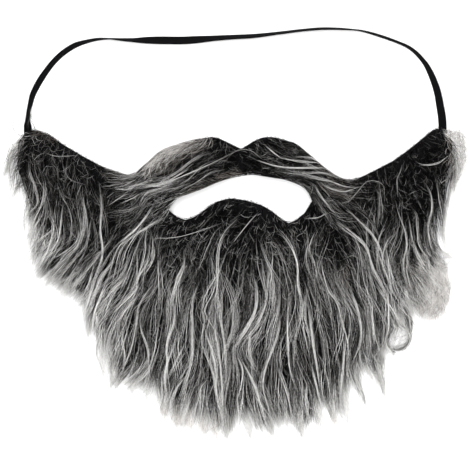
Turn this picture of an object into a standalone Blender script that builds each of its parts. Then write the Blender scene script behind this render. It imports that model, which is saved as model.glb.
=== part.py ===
"""A fake beard: long-pile fur cloth for the cheeks and chin, a moustache strip lapped over it, and an elastic head strap.

Metres. It lies face up: X runs across the face, Y from the chin's tips towards the strap, and Z up from the
surface that it lies on. The origin is under the middle of the fur, on that surface.
"""

import collections
import math

import bmesh
import bpy
import numpy as np

MM = 0.001

# Cloth, pile and strap sizes
CLOTH_THICK = 1.5 * MM
PILE_HIGH = 12.0 * MM
PILE_LONG = 50.0 * MM
SEAT_GAP = 0.3 * MM
STRAP_WIDE = 5.0 * MM
STRAP_THICK = 1.0 * MM
STRAP_STEP = 5.0 * MM

# Locks of the pile
LOCK_PITCH = 13.0 * MM
LOCK_WIDE = 17.5 * MM
LOCK_SLIM = 0.42
TIER_PITCH = 26.0 * MM
EDGE_INSET = 3.5 * MM
WAVE_LONG = 34.0 * MM
WAVE_HIGH = 2.2 * MM
LOCK_LIFT = 0.35 * MM
LIFT_STEP = 0.06 * MM
LIFT_STEPS = 7

# The cloth is raised over the strap's ends, and the moustache over the cheeks
TAB_LIFT = STRAP_THICK + SEAT_GAP
LAP_LIFT = CLOTH_THICK + SEAT_GAP
TAB_FROM, TAB_TO = 108.0 * MM, 121.0 * MM
LAP_MIDDLE = 3.5 * MM
LAP_FROM, LAP_TO = 24.0 * MM, 40.0 * MM
LAP_CLEAR = 0.5 * MM
ROOM_FLOOR, ROOM_STEP = 0.09 * MM, 0.01 * MM
CUTTER_ROOF = 40.0 * MM

# The cut edges of each cloth, in mm, from the wearer's right to the left: x, and y of the lower and upper edge
Section = collections.namedtuple("Section", "x low top")
BEARD_CLOTH = [
    Section(-135, 72.5, 87.5),
    Section(-130, 58.5, 94.5),
    Section(-125, 45.5, 96.3),
    Section(-116, 26.5, 93.6),
    Section(-106, 8.5, 87),
    Section(-94, -7.5, 79.9),
    Section(-81, -24.5, 72.9),
    Section(-70, -39.5, 68.6),
    Section(-60, -49.5, 66.6),
    Section(-53, -55.5, 63.5),
    Section(-47, -59.5, 57.5),
    Section(-41, -62.5, 46.5),
    Section(-36, -64.5, 42.5),
    Section(-31, -66.5, 40.5),
    Section(-26, -67.5, 42),
    Section(-21, -68.5, 45),
    Section(-16, -70, 49),
    Section(-11, -71, 52),
    Section(-3, -71.5, 54),
    Section(5, -71.5, 53),
    Section(11, -71, 51.5),
    Section(17, -70.5, 49.5),
    Section(23, -69.5, 46),
    Section(28, -68.5, 41.5),
    Section(33, -67.5, 38.5),
    Section(38, -66, 40.5),
    Section(43, -64.5, 44.5),
    Section(47, -63, 51),
    Section(50, -61.5, 56.5),
    Section(56, -58.5, 61.5),
    Section(65, -53.5, 63.6),
    Section(75, -45.5, 65.6),
    Section(86, -33.5, 70.9),
    Section(99, -15.5, 77.7),
    Section(108, -2.5, 84.4),
    Section(116, 15.5, 90.9),
    Section(122, 37.5, 96),
    Section(126, 51.5, 97.5),
    Section(130, 66.5, 95.5),
    Section(135, 77.5, 88.5),
]
MOUSTACHE_CLOTH = [
    Section(-63, 59.5, 67.5),
    Section(-58, 54, 72),
    Section(-54, 50.5, 75.5),
    Section(-47, 46, 82),
    Section(-42, 45.5, 84.5),
    Section(-39, 50.5, 85.5),
    Section(-35.5, 54, 86.5),
    Section(-29.5, 56, 88.5),
    Section(-20, 59.5, 91),
    Section(-14.5, 62, 92),
    Section(-9.5, 64, 91),
    Section(-1.5, 66.5, 87),
    Section(4, 67.5, 84.5),
    Section(11, 68.5, 89),
    Section(16.5, 67.5, 91.5),
    Section(22.5, 66.5, 92),
    Section(30, 65.5, 90.5),
    Section(37.5, 63, 87.5),
    Section(42.5, 60.5, 83),
    Section(45.5, 56.5, 80.5),
    Section(48, 50.5, 78.5),
    Section(54, 49, 73.2),
    Section(62, 52.5, 67.3),
    Section(69, 58.5, 64.4),
]

# The line that the lowest hair tips reach, in mm
Reach = collections.namedtuple("Reach", "x y")
TIP_LINE = [
    Reach(-144, 64),
    Reach(-142, 53.5),
    Reach(-135, 46.5),
    Reach(-132, 33.5),
    Reach(-130, 13.5),
    Reach(-121, -1.5),
    Reach(-109, -6.5),
    Reach(-98, -20.5),
    Reach(-86, -41.5),
    Reach(-78, -61.5),
    Reach(-59, -69.5),
    Reach(-45, -80.5),
    Reach(-25, -92),
    Reach(0, -97.5),
    Reach(25, -97),
    Reach(48, -89.5),
    Reach(64, -80.5),
    Reach(80, -71.5),
    Reach(92, -65.5),
    Reach(97, -42.5),
    Reach(108, -30.5),
    Reach(122, -25.5),
    Reach(130, -10.5),
    Reach(135, 11.5),
    Reach(133, 32.5),
    Reach(141, 65.5),
    Reach(147, 79),
]

# The strap's centre line and its roll, 0 where it lies flat and 90 where it stands on edge, in mm and degrees
StrapPoint = collections.namedtuple("StrapPoint", "x y roll")
STRAP_ROUTE = [
    StrapPoint(-127.4, 86.2, 0),
    StrapPoint(-128.1, 90.5, 0),
    StrapPoint(-128.4, 96.6, 0),
    StrapPoint(-128.3, 101.2, 60),
    StrapPoint(-127.8, 107, 68),
    StrapPoint(-126.6, 112, 60),
    StrapPoint(-125.4, 117, 53),
    StrapPoint(-123.2, 121.8, 48),
    StrapPoint(-120.4, 126.8, 46),
    StrapPoint(-117, 131.8, 52),
    StrapPoint(-113.3, 136.7, 54),
    StrapPoint(-108.3, 141.8, 54),
    StrapPoint(-103.5, 145.5, 54),
    StrapPoint(-98.5, 148.3, 56),
    StrapPoint(-91.9, 150.4, 70),
    StrapPoint(-84.5, 151.9, 80),
    StrapPoint(-77, 152.1, 96),
    StrapPoint(-69.6, 151.6, 112),
    StrapPoint(-62.1, 151.3, 126),
    StrapPoint(-55, 151.3, 150),
    StrapPoint(-46, 151.3, 170),
    StrapPoint(-30, 151.3, 170),
    StrapPoint(-22, 151.8, 155),
    StrapPoint(-14, 152.4, 137),
    StrapPoint(-3, 153.1, 129),
    StrapPoint(11.8, 153.9, 125),
    StrapPoint(26.7, 155.6, 113),
    StrapPoint(41.5, 157.4, 109),
    StrapPoint(54, 158.4, 109),
    StrapPoint(66, 158.2, 105),
    StrapPoint(78.7, 157, 90),
    StrapPoint(86.2, 155, 82),
    StrapPoint(93.6, 152.6, 80),
    StrapPoint(101.1, 149.8, 82),
    StrapPoint(107.8, 146.7, 76),
    StrapPoint(112.6, 142.9, 70),
    StrapPoint(115.9, 139.2, 66),
    StrapPoint(118.3, 136, 60),
    StrapPoint(120.6, 131.8, 52),
    StrapPoint(122.8, 126.8, 44),
    StrapPoint(124.6, 121.8, 38),
    StrapPoint(125.9, 116.9, 34),
    StrapPoint(126.8, 111.9, 26),
    StrapPoint(127.7, 107, 22),
    StrapPoint(128.3, 103, 12),
    StrapPoint(128.6, 99, 0),
    StrapPoint(128.8, 90.5, 0),
    StrapPoint(128.8, 84.5, 0),
]

# The way each part of the pile falls, in degrees from straight down the chin, turning outwards
CHEEK_LEAN = 27.0
CHEEK_LEAN_AT = 95.0 * MM
TAB_LEAN = 10.0
TAB_LEAN_FROM, TAB_LEAN_TO = 30.0 * MM, 80.0 * MM
MOUSTACHE_LEAN_MIDDLE = 80.0
MOUSTACHE_LEAN_END = 48.0
MOUSTACHE_HALF = 62.0 * MM

# A lock's sections from root to tip: how far along, its width, and its ridge's height on the pile
Profile = collections.namedtuple("Profile", "along wide inner outer")
LOCK_PROFILE = [
    Profile(0.00, 0.84, 0.24, 0.24),
    Profile(0.25, 1.00, 0.66, 0.62),
    Profile(0.55, 0.92, 1.00, 0.74),
    Profile(0.80, 0.58, 1.00, 0.46),
    Profile(1.00, 0.08, 0.88, 0.14),
]
SHOULDER_OUT, SHOULDER_UP = 0.62, 0.70

# Rows of moustache locks: where they lie between the lower edge and the upper, their length and height in mm
MoustacheRow = collections.namedtuple("MoustacheRow", "share start long high")
MOUSTACHE_ROWS = [
    MoustacheRow(0.80, 3.0, 32, 7.5),
    MoustacheRow(0.56, 8.0, 36, 10.0),
    MoustacheRow(0.30, 1.0, 30, 8.0),
]
MOUSTACHE_PITCH = 12.5 * MM
MOUSTACHE_WIDE = 13.0 * MM

BLACK_GREY = (0.035, 0.034, 0.033, 1.0)
MID_GREY = (0.16, 0.155, 0.15, 1.0)
STRAP_BLACK = (0.006, 0.006, 0.007, 1.0)


def clear_scene():
    for obj in list(bpy.data.objects):
        bpy.data.objects.remove(obj)


def material(name, colour, roughness):
    made = bpy.data.materials.new(name)
    made.use_nodes = True
    shader = made.node_tree.nodes["Principled BSDF"]
    shader.inputs["Base Color"].default_value = colour
    shader.inputs["Roughness"].default_value = roughness
    shader.inputs["Metallic"].default_value = 0.0
    return made


def smooth_step(value, start, end):
    share = min(1.0, max(0.0, (value - start) / (end - start)))
    return share * share * (3 - 2 * share)


def column(table, name):
    return [getattr(row, name) * MM for row in table]


def read_table(table, name, x):
    return float(np.interp(x, column(table, "x"), column(table, name)))


def tab_lift(x):
    return TAB_LIFT * smooth_step(abs(x), TAB_FROM, TAB_TO)


def lap_lift(x):
    return LAP_LIFT * smooth_step(abs(x - LAP_MIDDLE), LAP_FROM, LAP_TO)


def add_object(name, mesh, paint, collection=None):
    obj = bpy.data.objects.new(name, mesh)
    obj.data.materials.append(paint)
    (collection or bpy.context.scene.collection).objects.link(obj)
    return obj


def bridged_mesh(name, rings):
    """A closed mesh through rings of equal length, each a list of points that runs the same way round."""
    made = bmesh.new()
    rows = [[made.verts.new(point) for point in ring] for ring in rings]
    count = len(rows[0])
    for before, after in zip(rows, rows[1:]):
        for i in range(count):
            j = (i + 1) % count
            made.faces.new((before[i], before[j], after[j], after[i]))
    made.faces.new(list(reversed(rows[0])))
    made.faces.new(rows[-1])
    bmesh.ops.triangulate(made, faces=made.faces)
    bmesh.ops.recalc_face_normals(made, faces=made.faces)
    mesh = bpy.data.meshes.new(name)
    made.to_mesh(mesh)
    made.free()
    return mesh


def cloth_mesh(name, table, lift):
    """A cut cloth as a loft through upright sections, each raised from the surface as lift(x) says."""
    xs = sorted(set(column(table, "x")))
    rings = []
    for x in xs:
        low, top = read_table(table, "low", x), read_table(table, "top", x)
        under = lift(x)
        over = under + CLOTH_THICK
        rings.append([(x, low, under), (x, top, under), (x, top, over), (x, low, over)])
    return bridged_mesh(name, rings)


def cloth_room(table):
    """The space over a lapped cloth, out to a little past its cut edges, as a cutter's mesh."""
    floor = CLOTH_THICK + ROOM_FLOOR
    rings = []
    for row in table:
        x, low, top = row.x * MM, row.low * MM - LAP_CLEAR, row.top * MM + LAP_CLEAR
        if row is table[0]:
            x -= LAP_CLEAR
        if row is table[-1]:
            x += LAP_CLEAR
        rings.append([(x, low, floor), (x, top, floor), (x, top, CUTTER_ROOF), (x, low, CUTTER_ROOF)])
    return bridged_mesh("moustache_cloth_room", rings)


def beard_lean(x, y):
    """The fall of the cheek and chin pile, in radians from straight down, positive towards +X."""
    outwards = CHEEK_LEAN * smooth_step(abs(x), 0, CHEEK_LEAN_AT)
    at_tab = smooth_step(abs(x), TAB_FROM, TAB_TO) * smooth_step(y, TAB_LEAN_FROM, TAB_LEAN_TO)
    return math.radians(math.copysign(outwards + TAB_LEAN * at_tab, x))


def moustache_lean(x, y):
    away = smooth_step(abs(x - LAP_MIDDLE), 0, MOUSTACHE_HALF)
    lean = MOUSTACHE_LEAN_MIDDLE + (MOUSTACHE_LEAN_END - MOUSTACHE_LEAN_MIDDLE) * away
    return math.radians(math.copysign(lean, x - LAP_MIDDLE))


def lock_path(x, y, long, lean, phase, stations):
    """Points down the middle of a lock, and the unit vector across it at each."""
    points, sides = [], []
    step = long / (len(stations) * 4)
    at = 0.0
    for station in stations:
        while at < station * long - step / 2:
            angle = lean(x, y)
            x += math.sin(angle) * step
            y -= math.cos(angle) * step
            at += step
        angle = lean(x, y)
        side = np.array([math.cos(angle), math.sin(angle)])
        swing = WAVE_HIGH * (at / PILE_LONG) * math.sin(2 * math.pi * at / WAVE_LONG + phase)
        points.append(np.array([x, y]) + side * swing)
        sides.append(side)
    return points, sides


def lock_mesh(name, x, y, long, lean, phase, wide, high, under, is_outer, grow=0.0, roof=None):
    """One tapered lock of pile. grow widens it all round, and roof gives it a flat top: both are for a cutter."""
    stations = [row.along for row in LOCK_PROFILE]
    points, sides = lock_path(x, y, long, lean, phase, stations)
    rings = []
    for row, point, side in zip(LOCK_PROFILE, points, sides):
        half = wide / 2 * row.wide + grow
        ridge = under(point[0]) + high * (row.outer if is_outer else row.inner)
        base = under(point[0])
        ring = []
        for across, up in ((-1, 0), (-SHOULDER_OUT, SHOULDER_UP), (0, 1), (SHOULDER_OUT, SHOULDER_UP), (1, 0)):
            place = point + side * half * across
            z = base + (ridge - base) * up
            if roof is not None and up > 0:
                z = roof
            ring.append((place[0], place[1], z))
        rings.append(ring)
    return bridged_mesh(name, rings)


def tip_limit(x):
    return read_table(TIP_LINE, "y", x)


def length_to_tips(x, y, lean):
    """How far hair that starts at x, y runs before it reaches the line of the tips."""
    step = 1.0 * MM
    run = 0.0
    first, last = TIP_LINE[0].x * MM, TIP_LINE[-1].x * MM
    while first < x < last and y > tip_limit(x):
        angle = lean(x, y)
        x += math.sin(angle) * step
        y -= math.cos(angle) * step
        run += step
    return run


def helper_collection(name):
    made = bpy.data.collections.new(name)
    bpy.context.scene.collection.children.link(made)
    return made


def hide_helper(obj):
    obj.hide_render = True
    obj.display_type = "WIRE"


def lock_under(number, lift):
    """Locks start at slightly different heights inside the cloth, so that no two share a flat face."""
    base = LOCK_LIFT + LIFT_STEP * (number % LIFT_STEPS)
    return lambda x: base + lift(x)


def beard_locks(paint):
    """Tiers of overlapping locks from the cut upper edge down to the tips, as helpers for the union."""
    locks = helper_collection("beard_locks")
    count = int((BEARD_CLOTH[-1].x - BEARD_CLOTH[0].x) * MM / LOCK_PITCH) + 1
    number = 0
    for i in range(count):
        middle = BEARD_CLOTH[0].x * MM + EDGE_INSET + i * LOCK_PITCH
        low, top = read_table(BEARD_CLOTH, "low", middle), read_table(BEARD_CLOTH, "top", middle)
        tiers = max(2, round((top - low) / TIER_PITCH))
        for tier in range(tiers):
            x = middle + (LOCK_PITCH / 2 if tier % 2 else 0.0)
            x = min(x, BEARD_CLOTH[-1].x * MM - EDGE_INSET)
            low, top = read_table(BEARD_CLOTH, "low", x), read_table(BEARD_CLOTH, "top", x)
            y = top - EDGE_INSET - (top - low - EDGE_INSET) * tier / tiers
            is_outer = tier == tiers - 1
            run = length_to_tips(x, y, beard_lean)
            long = run if is_outer else min(run, PILE_LONG)
            is_outer = is_outer or run < PILE_LONG
            phase = 2.4 * number
            name = f"beard_lock_{number}"
            wide = min(LOCK_WIDE, LOCK_SLIM * long)
            mesh = lock_mesh(name, x, y, long, beard_lean, phase, wide, PILE_HIGH,
                             lock_under(number, tab_lift), is_outer)
            hide_helper(add_object(name, mesh, paint, locks))
            number += 1
    return locks


def moustache_roots():
    """Where each moustache lock starts, with its row, from the middle out to both ends."""
    roots = []
    for side, end in ((-1, MOUSTACHE_CLOTH[0].x * MM), (1, MOUSTACHE_CLOTH[-1].x * MM)):
        reach = abs(end - LAP_MIDDLE) - EDGE_INSET
        for row in MOUSTACHE_ROWS:
            away = row.start * MM
            while away < reach:
                x = LAP_MIDDLE + side * away
                low, top = read_table(MOUSTACHE_CLOTH, "low", x), read_table(MOUSTACHE_CLOTH, "top", x)
                roots.append((x, low + (top - low) * row.share, row))
                away += MOUSTACHE_PITCH
    return roots


def moustache_locks(paint):
    """The moustache's locks and, for each, the room that it needs in the pile of the cheeks."""
    locks, rooms = helper_collection("moustache_locks"), helper_collection("moustache_rooms")
    for number, (x, y, row) in enumerate(moustache_roots()):
        shape = (x, y, row.long * MM, moustache_lean, 2.1 * number, MOUSTACHE_WIDE, row.high * MM)
        name = f"moustache_lock_{number}"
        mesh = lock_mesh(name, *shape, lock_under(number, lap_lift), False)
        hide_helper(add_object(name, mesh, paint, locks))
        name = f"moustache_room_{number}"
        floor = CLOTH_THICK + ROOM_FLOOR - ROOM_STEP * (1 + number % LIFT_STEPS)
        mesh = lock_mesh(name, *shape, lambda x, floor=floor: floor + tab_lift(x), False, LAP_CLEAR, CUTTER_ROOF)
        hide_helper(add_object(name, mesh, paint, rooms))
    hide_helper(add_object("moustache_cloth_room", cloth_room(MOUSTACHE_CLOTH), paint, rooms))
    return locks, rooms


def boolean(obj, operation, collection):
    made = obj.modifiers.new(operation.lower(), "BOOLEAN")
    made.operation = operation
    made.operand_type = "COLLECTION"
    made.collection = collection
    made.solver = "EXACT"


def strap_mesh():
    """A flat woven band swept along its route, resting on the surface however it is rolled."""
    route = np.array([(row.x * MM, row.y * MM) for row in STRAP_ROUTE])
    rolls = np.radians([row.roll for row in STRAP_ROUTE])
    along = np.concatenate([[0], np.cumsum(np.linalg.norm(np.diff(route, axis=0), axis=1))])
    count = int(along[-1] / STRAP_STEP) + 1
    at = np.linspace(0, along[-1], count)
    path = smooth_curve(along, route, at)
    roll = np.interp(at, along, rolls)
    across = np.gradient(path, axis=0)
    across = np.stack([-across[:, 1], across[:, 0]], axis=1)
    across /= np.linalg.norm(across, axis=1)[:, None]
    rings = []
    for point, side, turn in zip(path, across, roll):
        rise = (STRAP_WIDE * abs(math.sin(turn)) + STRAP_THICK * abs(math.cos(turn))) / 2
        wide = np.array([*(side * math.cos(turn)), math.sin(turn)])
        thick = np.array([*(side * -math.sin(turn)), math.cos(turn)])
        middle = np.array([*point, rise])
        rings.append([
            middle + wide * STRAP_WIDE / 2 * a + thick * STRAP_THICK / 2 * b
            for a, b in ((-1, -1), (1, -1), (1, 1), (-1, 1))
        ])
    return bridged_mesh("elastic_strap", rings)


def smooth_curve(along, points, at):
    """Points at distances at on a curve through points, with the slope at each from its two neighbours."""
    slope = np.gradient(points, along, axis=0)
    i = np.clip(np.searchsorted(along, at, side="right") - 1, 0, len(along) - 2)
    span = (along[i + 1] - along[i])[:, None]
    t = (at - along[i])[:, None] / span
    return (
        (2 * t**3 - 3 * t**2 + 1) * points[i]
        + (t**3 - 2 * t**2 + t) * span * slope[i]
        + (3 * t**2 - 2 * t**3) * points[i + 1]
        + (t**3 - t**2) * span * slope[i + 1]
    )


def main():
    clear_scene()
    beard_paint = material("grey_fur", BLACK_GREY, 0.75)
    moustache_paint = material("dark_fur", MID_GREY, 0.75)
    strap_paint = material("black_elastic", STRAP_BLACK, 0.6)

    locks, rooms = moustache_locks(moustache_paint)
    mesh = cloth_mesh("moustache_fur", MOUSTACHE_CLOTH, lap_lift)
    boolean(add_object("moustache_fur", mesh, moustache_paint), "UNION", locks)

    beard = add_object("beard_fur", cloth_mesh("beard_fur", BEARD_CLOTH, tab_lift), beard_paint)
    boolean(beard, "UNION", beard_locks(beard_paint))
    boolean(beard, "DIFFERENCE", rooms)

    add_object("elastic_strap", strap_mesh(), strap_paint)


main()
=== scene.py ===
import collections
import math

import bpy
import numpy as np
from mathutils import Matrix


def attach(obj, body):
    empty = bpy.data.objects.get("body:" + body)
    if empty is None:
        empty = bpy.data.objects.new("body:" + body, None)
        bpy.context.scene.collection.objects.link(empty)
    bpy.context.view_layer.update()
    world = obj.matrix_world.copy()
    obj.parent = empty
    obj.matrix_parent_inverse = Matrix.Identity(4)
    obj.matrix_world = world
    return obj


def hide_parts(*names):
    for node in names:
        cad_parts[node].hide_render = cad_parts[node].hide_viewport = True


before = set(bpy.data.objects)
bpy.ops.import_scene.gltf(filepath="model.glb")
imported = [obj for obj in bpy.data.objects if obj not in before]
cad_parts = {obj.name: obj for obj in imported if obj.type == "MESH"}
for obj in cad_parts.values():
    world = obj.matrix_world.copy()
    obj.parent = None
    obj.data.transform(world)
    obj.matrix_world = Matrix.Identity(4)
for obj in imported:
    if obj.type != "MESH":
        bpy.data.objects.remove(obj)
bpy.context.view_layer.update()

MM = 0.001

# The photograph's frame on the floor, and the camera straight above it
PHOTO_SIDE = 291.4 * MM
PHOTO_MIDDLE_Y = 30.7 * MM
CAMERA_HEIGHT = 1.4
SENSOR = 36.0

# Sizes shared with the solids
CLOTH_THICK = 1.5 * MM
SEAT_GAP = 0.3 * MM
STRAP_WIDE = 5.0 * MM
STRAP_THICK = 1.0 * MM
TAB_LIFT = STRAP_THICK + SEAT_GAP
LAP_LIFT = CLOTH_THICK + SEAT_GAP
TAB_FROM, TAB_TO = 108.0 * MM, 121.0 * MM
LAP_MIDDLE = 3.5 * MM
LAP_FROM, LAP_TO = 24.0 * MM, 40.0 * MM

# Pile
PILE_HIGH, LIP_PILE_HIGH = 11.0 * MM, 8.5 * MM
# Past this distance to each side the pile hangs off the tabs, and on the left it may reach this far up
TUFT_FROM, PILE_TOP = 131.0 * MM, 98.0 * MM
FIBRE_SIDES = 3
# The turn from one fibre's roll to the next's, in radians
GOLDEN_TURN = 2.399963
# How far a fibre's tone differs round it
TONE_BAND = 0.01
# The tone that every hair nears at its outline: partly the tips' own paler colour and partly painted light, the pale
# floor showing through the thin tips
PALE_TIP = 0.925
# How much of its height the pile loses past the cloth's edge, over what distance, and how low a strand may lie
HANG_DROP, TUFT_DROP, HANG_REACH, LOWEST = 0.88, 0.8, 26.0 * MM, 0.35 * MM

# The cut edges of each cloth, in mm: x, and y of the lower and upper edge
Section = collections.namedtuple("Section", "x low top")
BEARD_CLOTH = [Section(*row) for row in (
    (-135, 72.5, 87.5), (-130, 58.5, 94.5), (-125, 45.5, 96.3), (-116, 26.5, 93.6), (-106, 8.5, 87),
    (-94, -7.5, 79.9), (-81, -24.5, 72.9), (-70, -39.5, 68.6), (-60, -49.5, 66.6), (-53, -55.5, 63.5),
    (-47, -59.5, 57.5), (-41, -62.5, 46.5), (-36, -64.5, 42.5), (-31, -66.5, 40.5), (-26, -67.5, 42),
    (-21, -68.5, 45), (-16, -70, 49), (-11, -71, 52), (-3, -71.5, 54), (5, -71.5, 53), (11, -71, 51.5),
    (17, -70.5, 49.5), (23, -69.5, 46), (28, -68.5, 41.5), (33, -67.5, 38.5), (38, -66, 40.5), (43, -64.5, 44.5),
    (47, -63, 51), (50, -61.5, 56.5), (56, -58.5, 61.5), (65, -53.5, 63.6), (75, -45.5, 65.6), (86, -33.5, 70.9),
    (99, -15.5, 77.7), (108, -2.5, 84.4), (116, 15.5, 90.9), (122, 37.5, 96), (126, 51.5, 97.5), (130, 66.5, 95.5),
    (135, 77.5, 88.5),
)]
MOUSTACHE_CLOTH = [Section(*row) for row in (
    (-63, 59.5, 67.5), (-58, 54, 72), (-54, 50.5, 75.5), (-47, 46, 82), (-42, 45.5, 84.5), (-39, 50.5, 85.5),
    (-35.5, 54, 86.5), (-29.5, 56, 88.5), (-20, 59.5, 91), (-14.5, 62, 92), (-9.5, 64, 91), (-1.5, 66.5, 87),
    (4, 67.5, 84.5), (11, 68.5, 89), (16.5, 67.5, 91.5), (22.5, 66.5, 92), (30, 65.5, 90.5), (37.5, 63, 87.5),
    (42.5, 60.5, 83), (45.5, 56.5, 80.5), (48, 50.5, 78.5), (54, 49, 73.2), (62, 52.5, 67.3), (69, 58.5, 64.4),
)]

# How wide the band of pale tips is, in mm, near points of the hair's outline
Band = collections.namedtuple("Band", "x y wide")
PALE_BANDS = [Band(*row) for row in (
    (-142, 80, 9), (-142, 62, 10), (-128, 40, 10), (-128, 18, 11), (-112, -6, 16), (-98, -26, 14), (-82, -48, 14),
    (-72, -66, 15), (-52, -78, 19), (-30, -94, 24), (0, -97, 16), (30, -97, 14), (56, -92, 13), (70, -80, 12),
    (78, -70, 12), (92, -68, 17), (98, -40, 8), (112, -26, 24), (126, -16, 32), (134, 4, 20), (134, 18, 9),
    (132, 34, 6), (135, 56, 7), (144, 80, 11), (138, 96, 10),
)]
# A round gap between two loops of hair near the left jaw: strands within so many radii are pushed so many radii off
GAP_MIDDLE, GAP_RADIUS = np.array([101.2, -33.8]) * MM, 3.9 * MM
GAP_REACH, GAP_PUSH = 2.2, 1.6

# Where the pile is paler or darker than elsewhere: x and y in mm, the change of tone, and the share of pale hair
Shade = collections.namedtuple("Shade", "x y lift pale")
CHEEK_SHADES = [Shade(*row) for row in (
    (-136, 76, -0.04, 0.28), (-118, 74, -0.14, 0.16), (-104, 60, -0.10, 0.20), (-74, 57, -0.22, 0.10),
    (-122, 46, 0.12, 0.46), (-104, 34, 0.12, 0.48), (-118, 12, 0.12, 0.50), (-92, 10, 0.11, 0.50),
    (-58, 44, 0.00, 0.32), (-44, 28, 0.02, 0.32), (-72, -10, 0.09, 0.48), (-68, 48, -0.14, 0.14),
    (-36, 12, 0.11, 0.42), (0, 44, -0.18, 0.14), (0, 24, -0.05, 0.28), (10, 4, 0.10, 0.42), (-20, -20, 0.02, 0.40),
    (20, -40, -0.01, 0.38), (-40, -50, -0.03, 0.36), (0, -70, -0.16, 0.26), (34, 30, 0.02, 0.32),
    (56, 44, -0.17, 0.17), (50, 10, 0.04, 0.38), (70, 20, -0.02, 0.34), (84, 60, -0.13, 0.16), (108, 72, -0.26, 0.08),
    (122, 84, -0.32, 0.06), (100, 36, 0.02, 0.32), (120, 44, 0.04, 0.34), (90, 8, 0.06, 0.38), (112, 10, 0.04, 0.40),
    (64, -20, -0.06, 0.32), (84, -30, -0.03, 0.34),
)]
MOUSTACHE_SHADES = [Shade(*row) for row in (
    (-56, 71, 0.04, 0.40), (-46, 79, 0.06, 0.40), (-34, 84.5, -0.10, 0.20), (-22, 88, -0.20, 0.10),
    (-48, 68, -0.06, 0.32), (-36, 74, -0.16, 0.22), (-24, 80, -0.20, 0.10), (-10, 84, -0.18, 0.10),
    (3, 78, -0.24, 0.04), (3, 70, -0.26, 0.04), (-12, 70, -0.08, 0.24), (-26, 64, -0.03, 0.36),
    (-40, 58, -0.04, 0.36), (-56, 60, -0.13, 0.26), (16, 86, -0.18, 0.12), (28, 88, -0.12, 0.15),
    (40, 82, -0.04, 0.30), (20, 74, -0.10, 0.26), (34, 72, -0.05, 0.36), (46, 74, -0.04, 0.38), (58, 70, -0.04, 0.38),
    (50, 60, -0.14, 0.26), (62, 62, -0.13, 0.26),
)]

# How the pile lies: at x and y in mm, its lean from straight down the chin in degrees, positive towards +X
Lie = collections.namedtuple("Lie", "x y lean")
CHEEK_LIES = [Lie(*row) for row in (
    (-133, 87, -42), (-142, 70, -14), (-126, 58, -8), (-121, 47, -6), (-126, 36, -34), (-106, 58, 0), (-107, 38, -2),
    (-112, 20, -24), (-119, 8, -42), (-93, 50, 2), (-93, 34, -4), (-101, 20, -42), (-113, 6, -50), (-82, 58, 4),
    (-82, 36, 0), (-83, 16, -12), (-88, -4, -24), (-68, 54, -30), (-58, 44, -40), (-68, 28, -40), (-78, 8, -24),
    (-60, 16, -14), (-54, 4, -28), (-42, 40, -60), (-50, 26, -72), (-36, 28, -66), (-32, 14, -8), (-36, 2, -18),
    (-22, 38, -52), (-18, 26, -36), (-10, 42, -48), (-8, 18, -6), (2, 44, -42), (2, 26, -30), (6, 8, -4),
    (14, 42, -8), (14, 24, 2), (24, 36, 36), (33, 24, 32), (38, 8, 8), (42, 34, -8), (46, 16, -14), (56, 48, 46),
    (66, 38, 50), (78, 26, 36), (84, 12, 22), (80, 56, 12), (92, 38, -24), (88, 22, -6), (94, 2, 24), (100, 50, 10),
    (106, 30, 6), (104, 12, -8), (108, 50, 24), (112, 36, 4), (114, 20, 22), (122, 12, 34), (120, 66, 22),
    (122, 46, -2), (124, 28, 12), (130, 92, 38), (139, 82, 18), (137, 66, -16), (131, 48, -4), (130, 26, 14),
    (128, 4, 48), (116, 2, 42), (126, -8, 50), (112, -14, 46), (104, -24, 38), (98, -22, 22), (78, -12, 18),
    (62, -10, 10), (-90, -28, -18), (-74, -30, -14), (-56, -22, -16), (-44, -52, -10), (-24, -30, -4), (0, -30, 0),
    (30, -30, 4), (0, -75, 0), (50, -60, 4), (72, -50, 8),
)]
MOUSTACHE_LIES = [Lie(*row) for row in (
    (-4, 86, -64), (-14, 90, -70), (-26, 87, -60), (-38, 81, -54), (-50, 74, -50), (-2, 74, -76), (-16, 70, -76),
    (-30, 66, -72), (-44, 62, -72), (-56, 60, -80), (-66, 58, -84), (-44, 52, -46), (11, 86, 66), (24, 90, 62),
    (36, 86, 52), (48, 79, 48), (10, 74, 74), (26, 74, 84), (42, 72, 88), (56, 71, 80), (66, 64, 76), (30, 67, 84),
    (44, 62, 56), (52, 54, 46),
)]
# Within this distance a table's row counts nearly in full
LIE_NEAR = 5.0 * MM

# The strap's centre line and its roll, 0 where it lies flat and 90 where it stands on edge, in mm and degrees
StrapPoint = collections.namedtuple("StrapPoint", "x y roll")
STRAP_ROUTE = [StrapPoint(*row) for row in (
    (-127.4, 86.2, 0), (-128.1, 90.5, 0), (-128.4, 96.6, 0), (-128.3, 101.2, 60), (-127.8, 107, 68),
    (-126.6, 112, 60), (-125.4, 117, 53), (-123.2, 121.8, 48), (-120.4, 126.8, 46), (-117, 131.8, 52),
    (-113.3, 136.7, 54), (-108.3, 141.8, 54), (-103.5, 145.5, 54), (-98.5, 148.3, 56), (-91.9, 150.4, 70),
    (-84.5, 151.9, 80), (-77, 152.1, 96), (-69.6, 151.6, 112), (-62.1, 151.3, 126), (-55, 151.3, 150),
    (-46, 151.3, 170), (-30, 151.3, 170), (-22, 151.8, 155), (-14, 152.4, 137), (-3, 153.1, 129), (11.8, 153.9, 125),
    (26.7, 155.6, 113), (41.5, 157.4, 109), (54, 158.4, 109), (66, 158.2, 105), (78.7, 157, 90), (86.2, 155, 82),
    (93.6, 152.6, 80), (101.1, 149.8, 82), (107.8, 146.7, 76), (112.6, 142.9, 70), (115.9, 139.2, 66),
    (118.3, 136, 60), (120.6, 131.8, 52), (122.8, 126.8, 44), (124.6, 121.8, 38), (125.9, 116.9, 34),
    (126.8, 111.9, 26), (127.7, 107, 22), (128.3, 103, 12), (128.6, 99, 0), (128.8, 90.5, 0), (128.8, 84.5, 0),
)]


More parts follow.
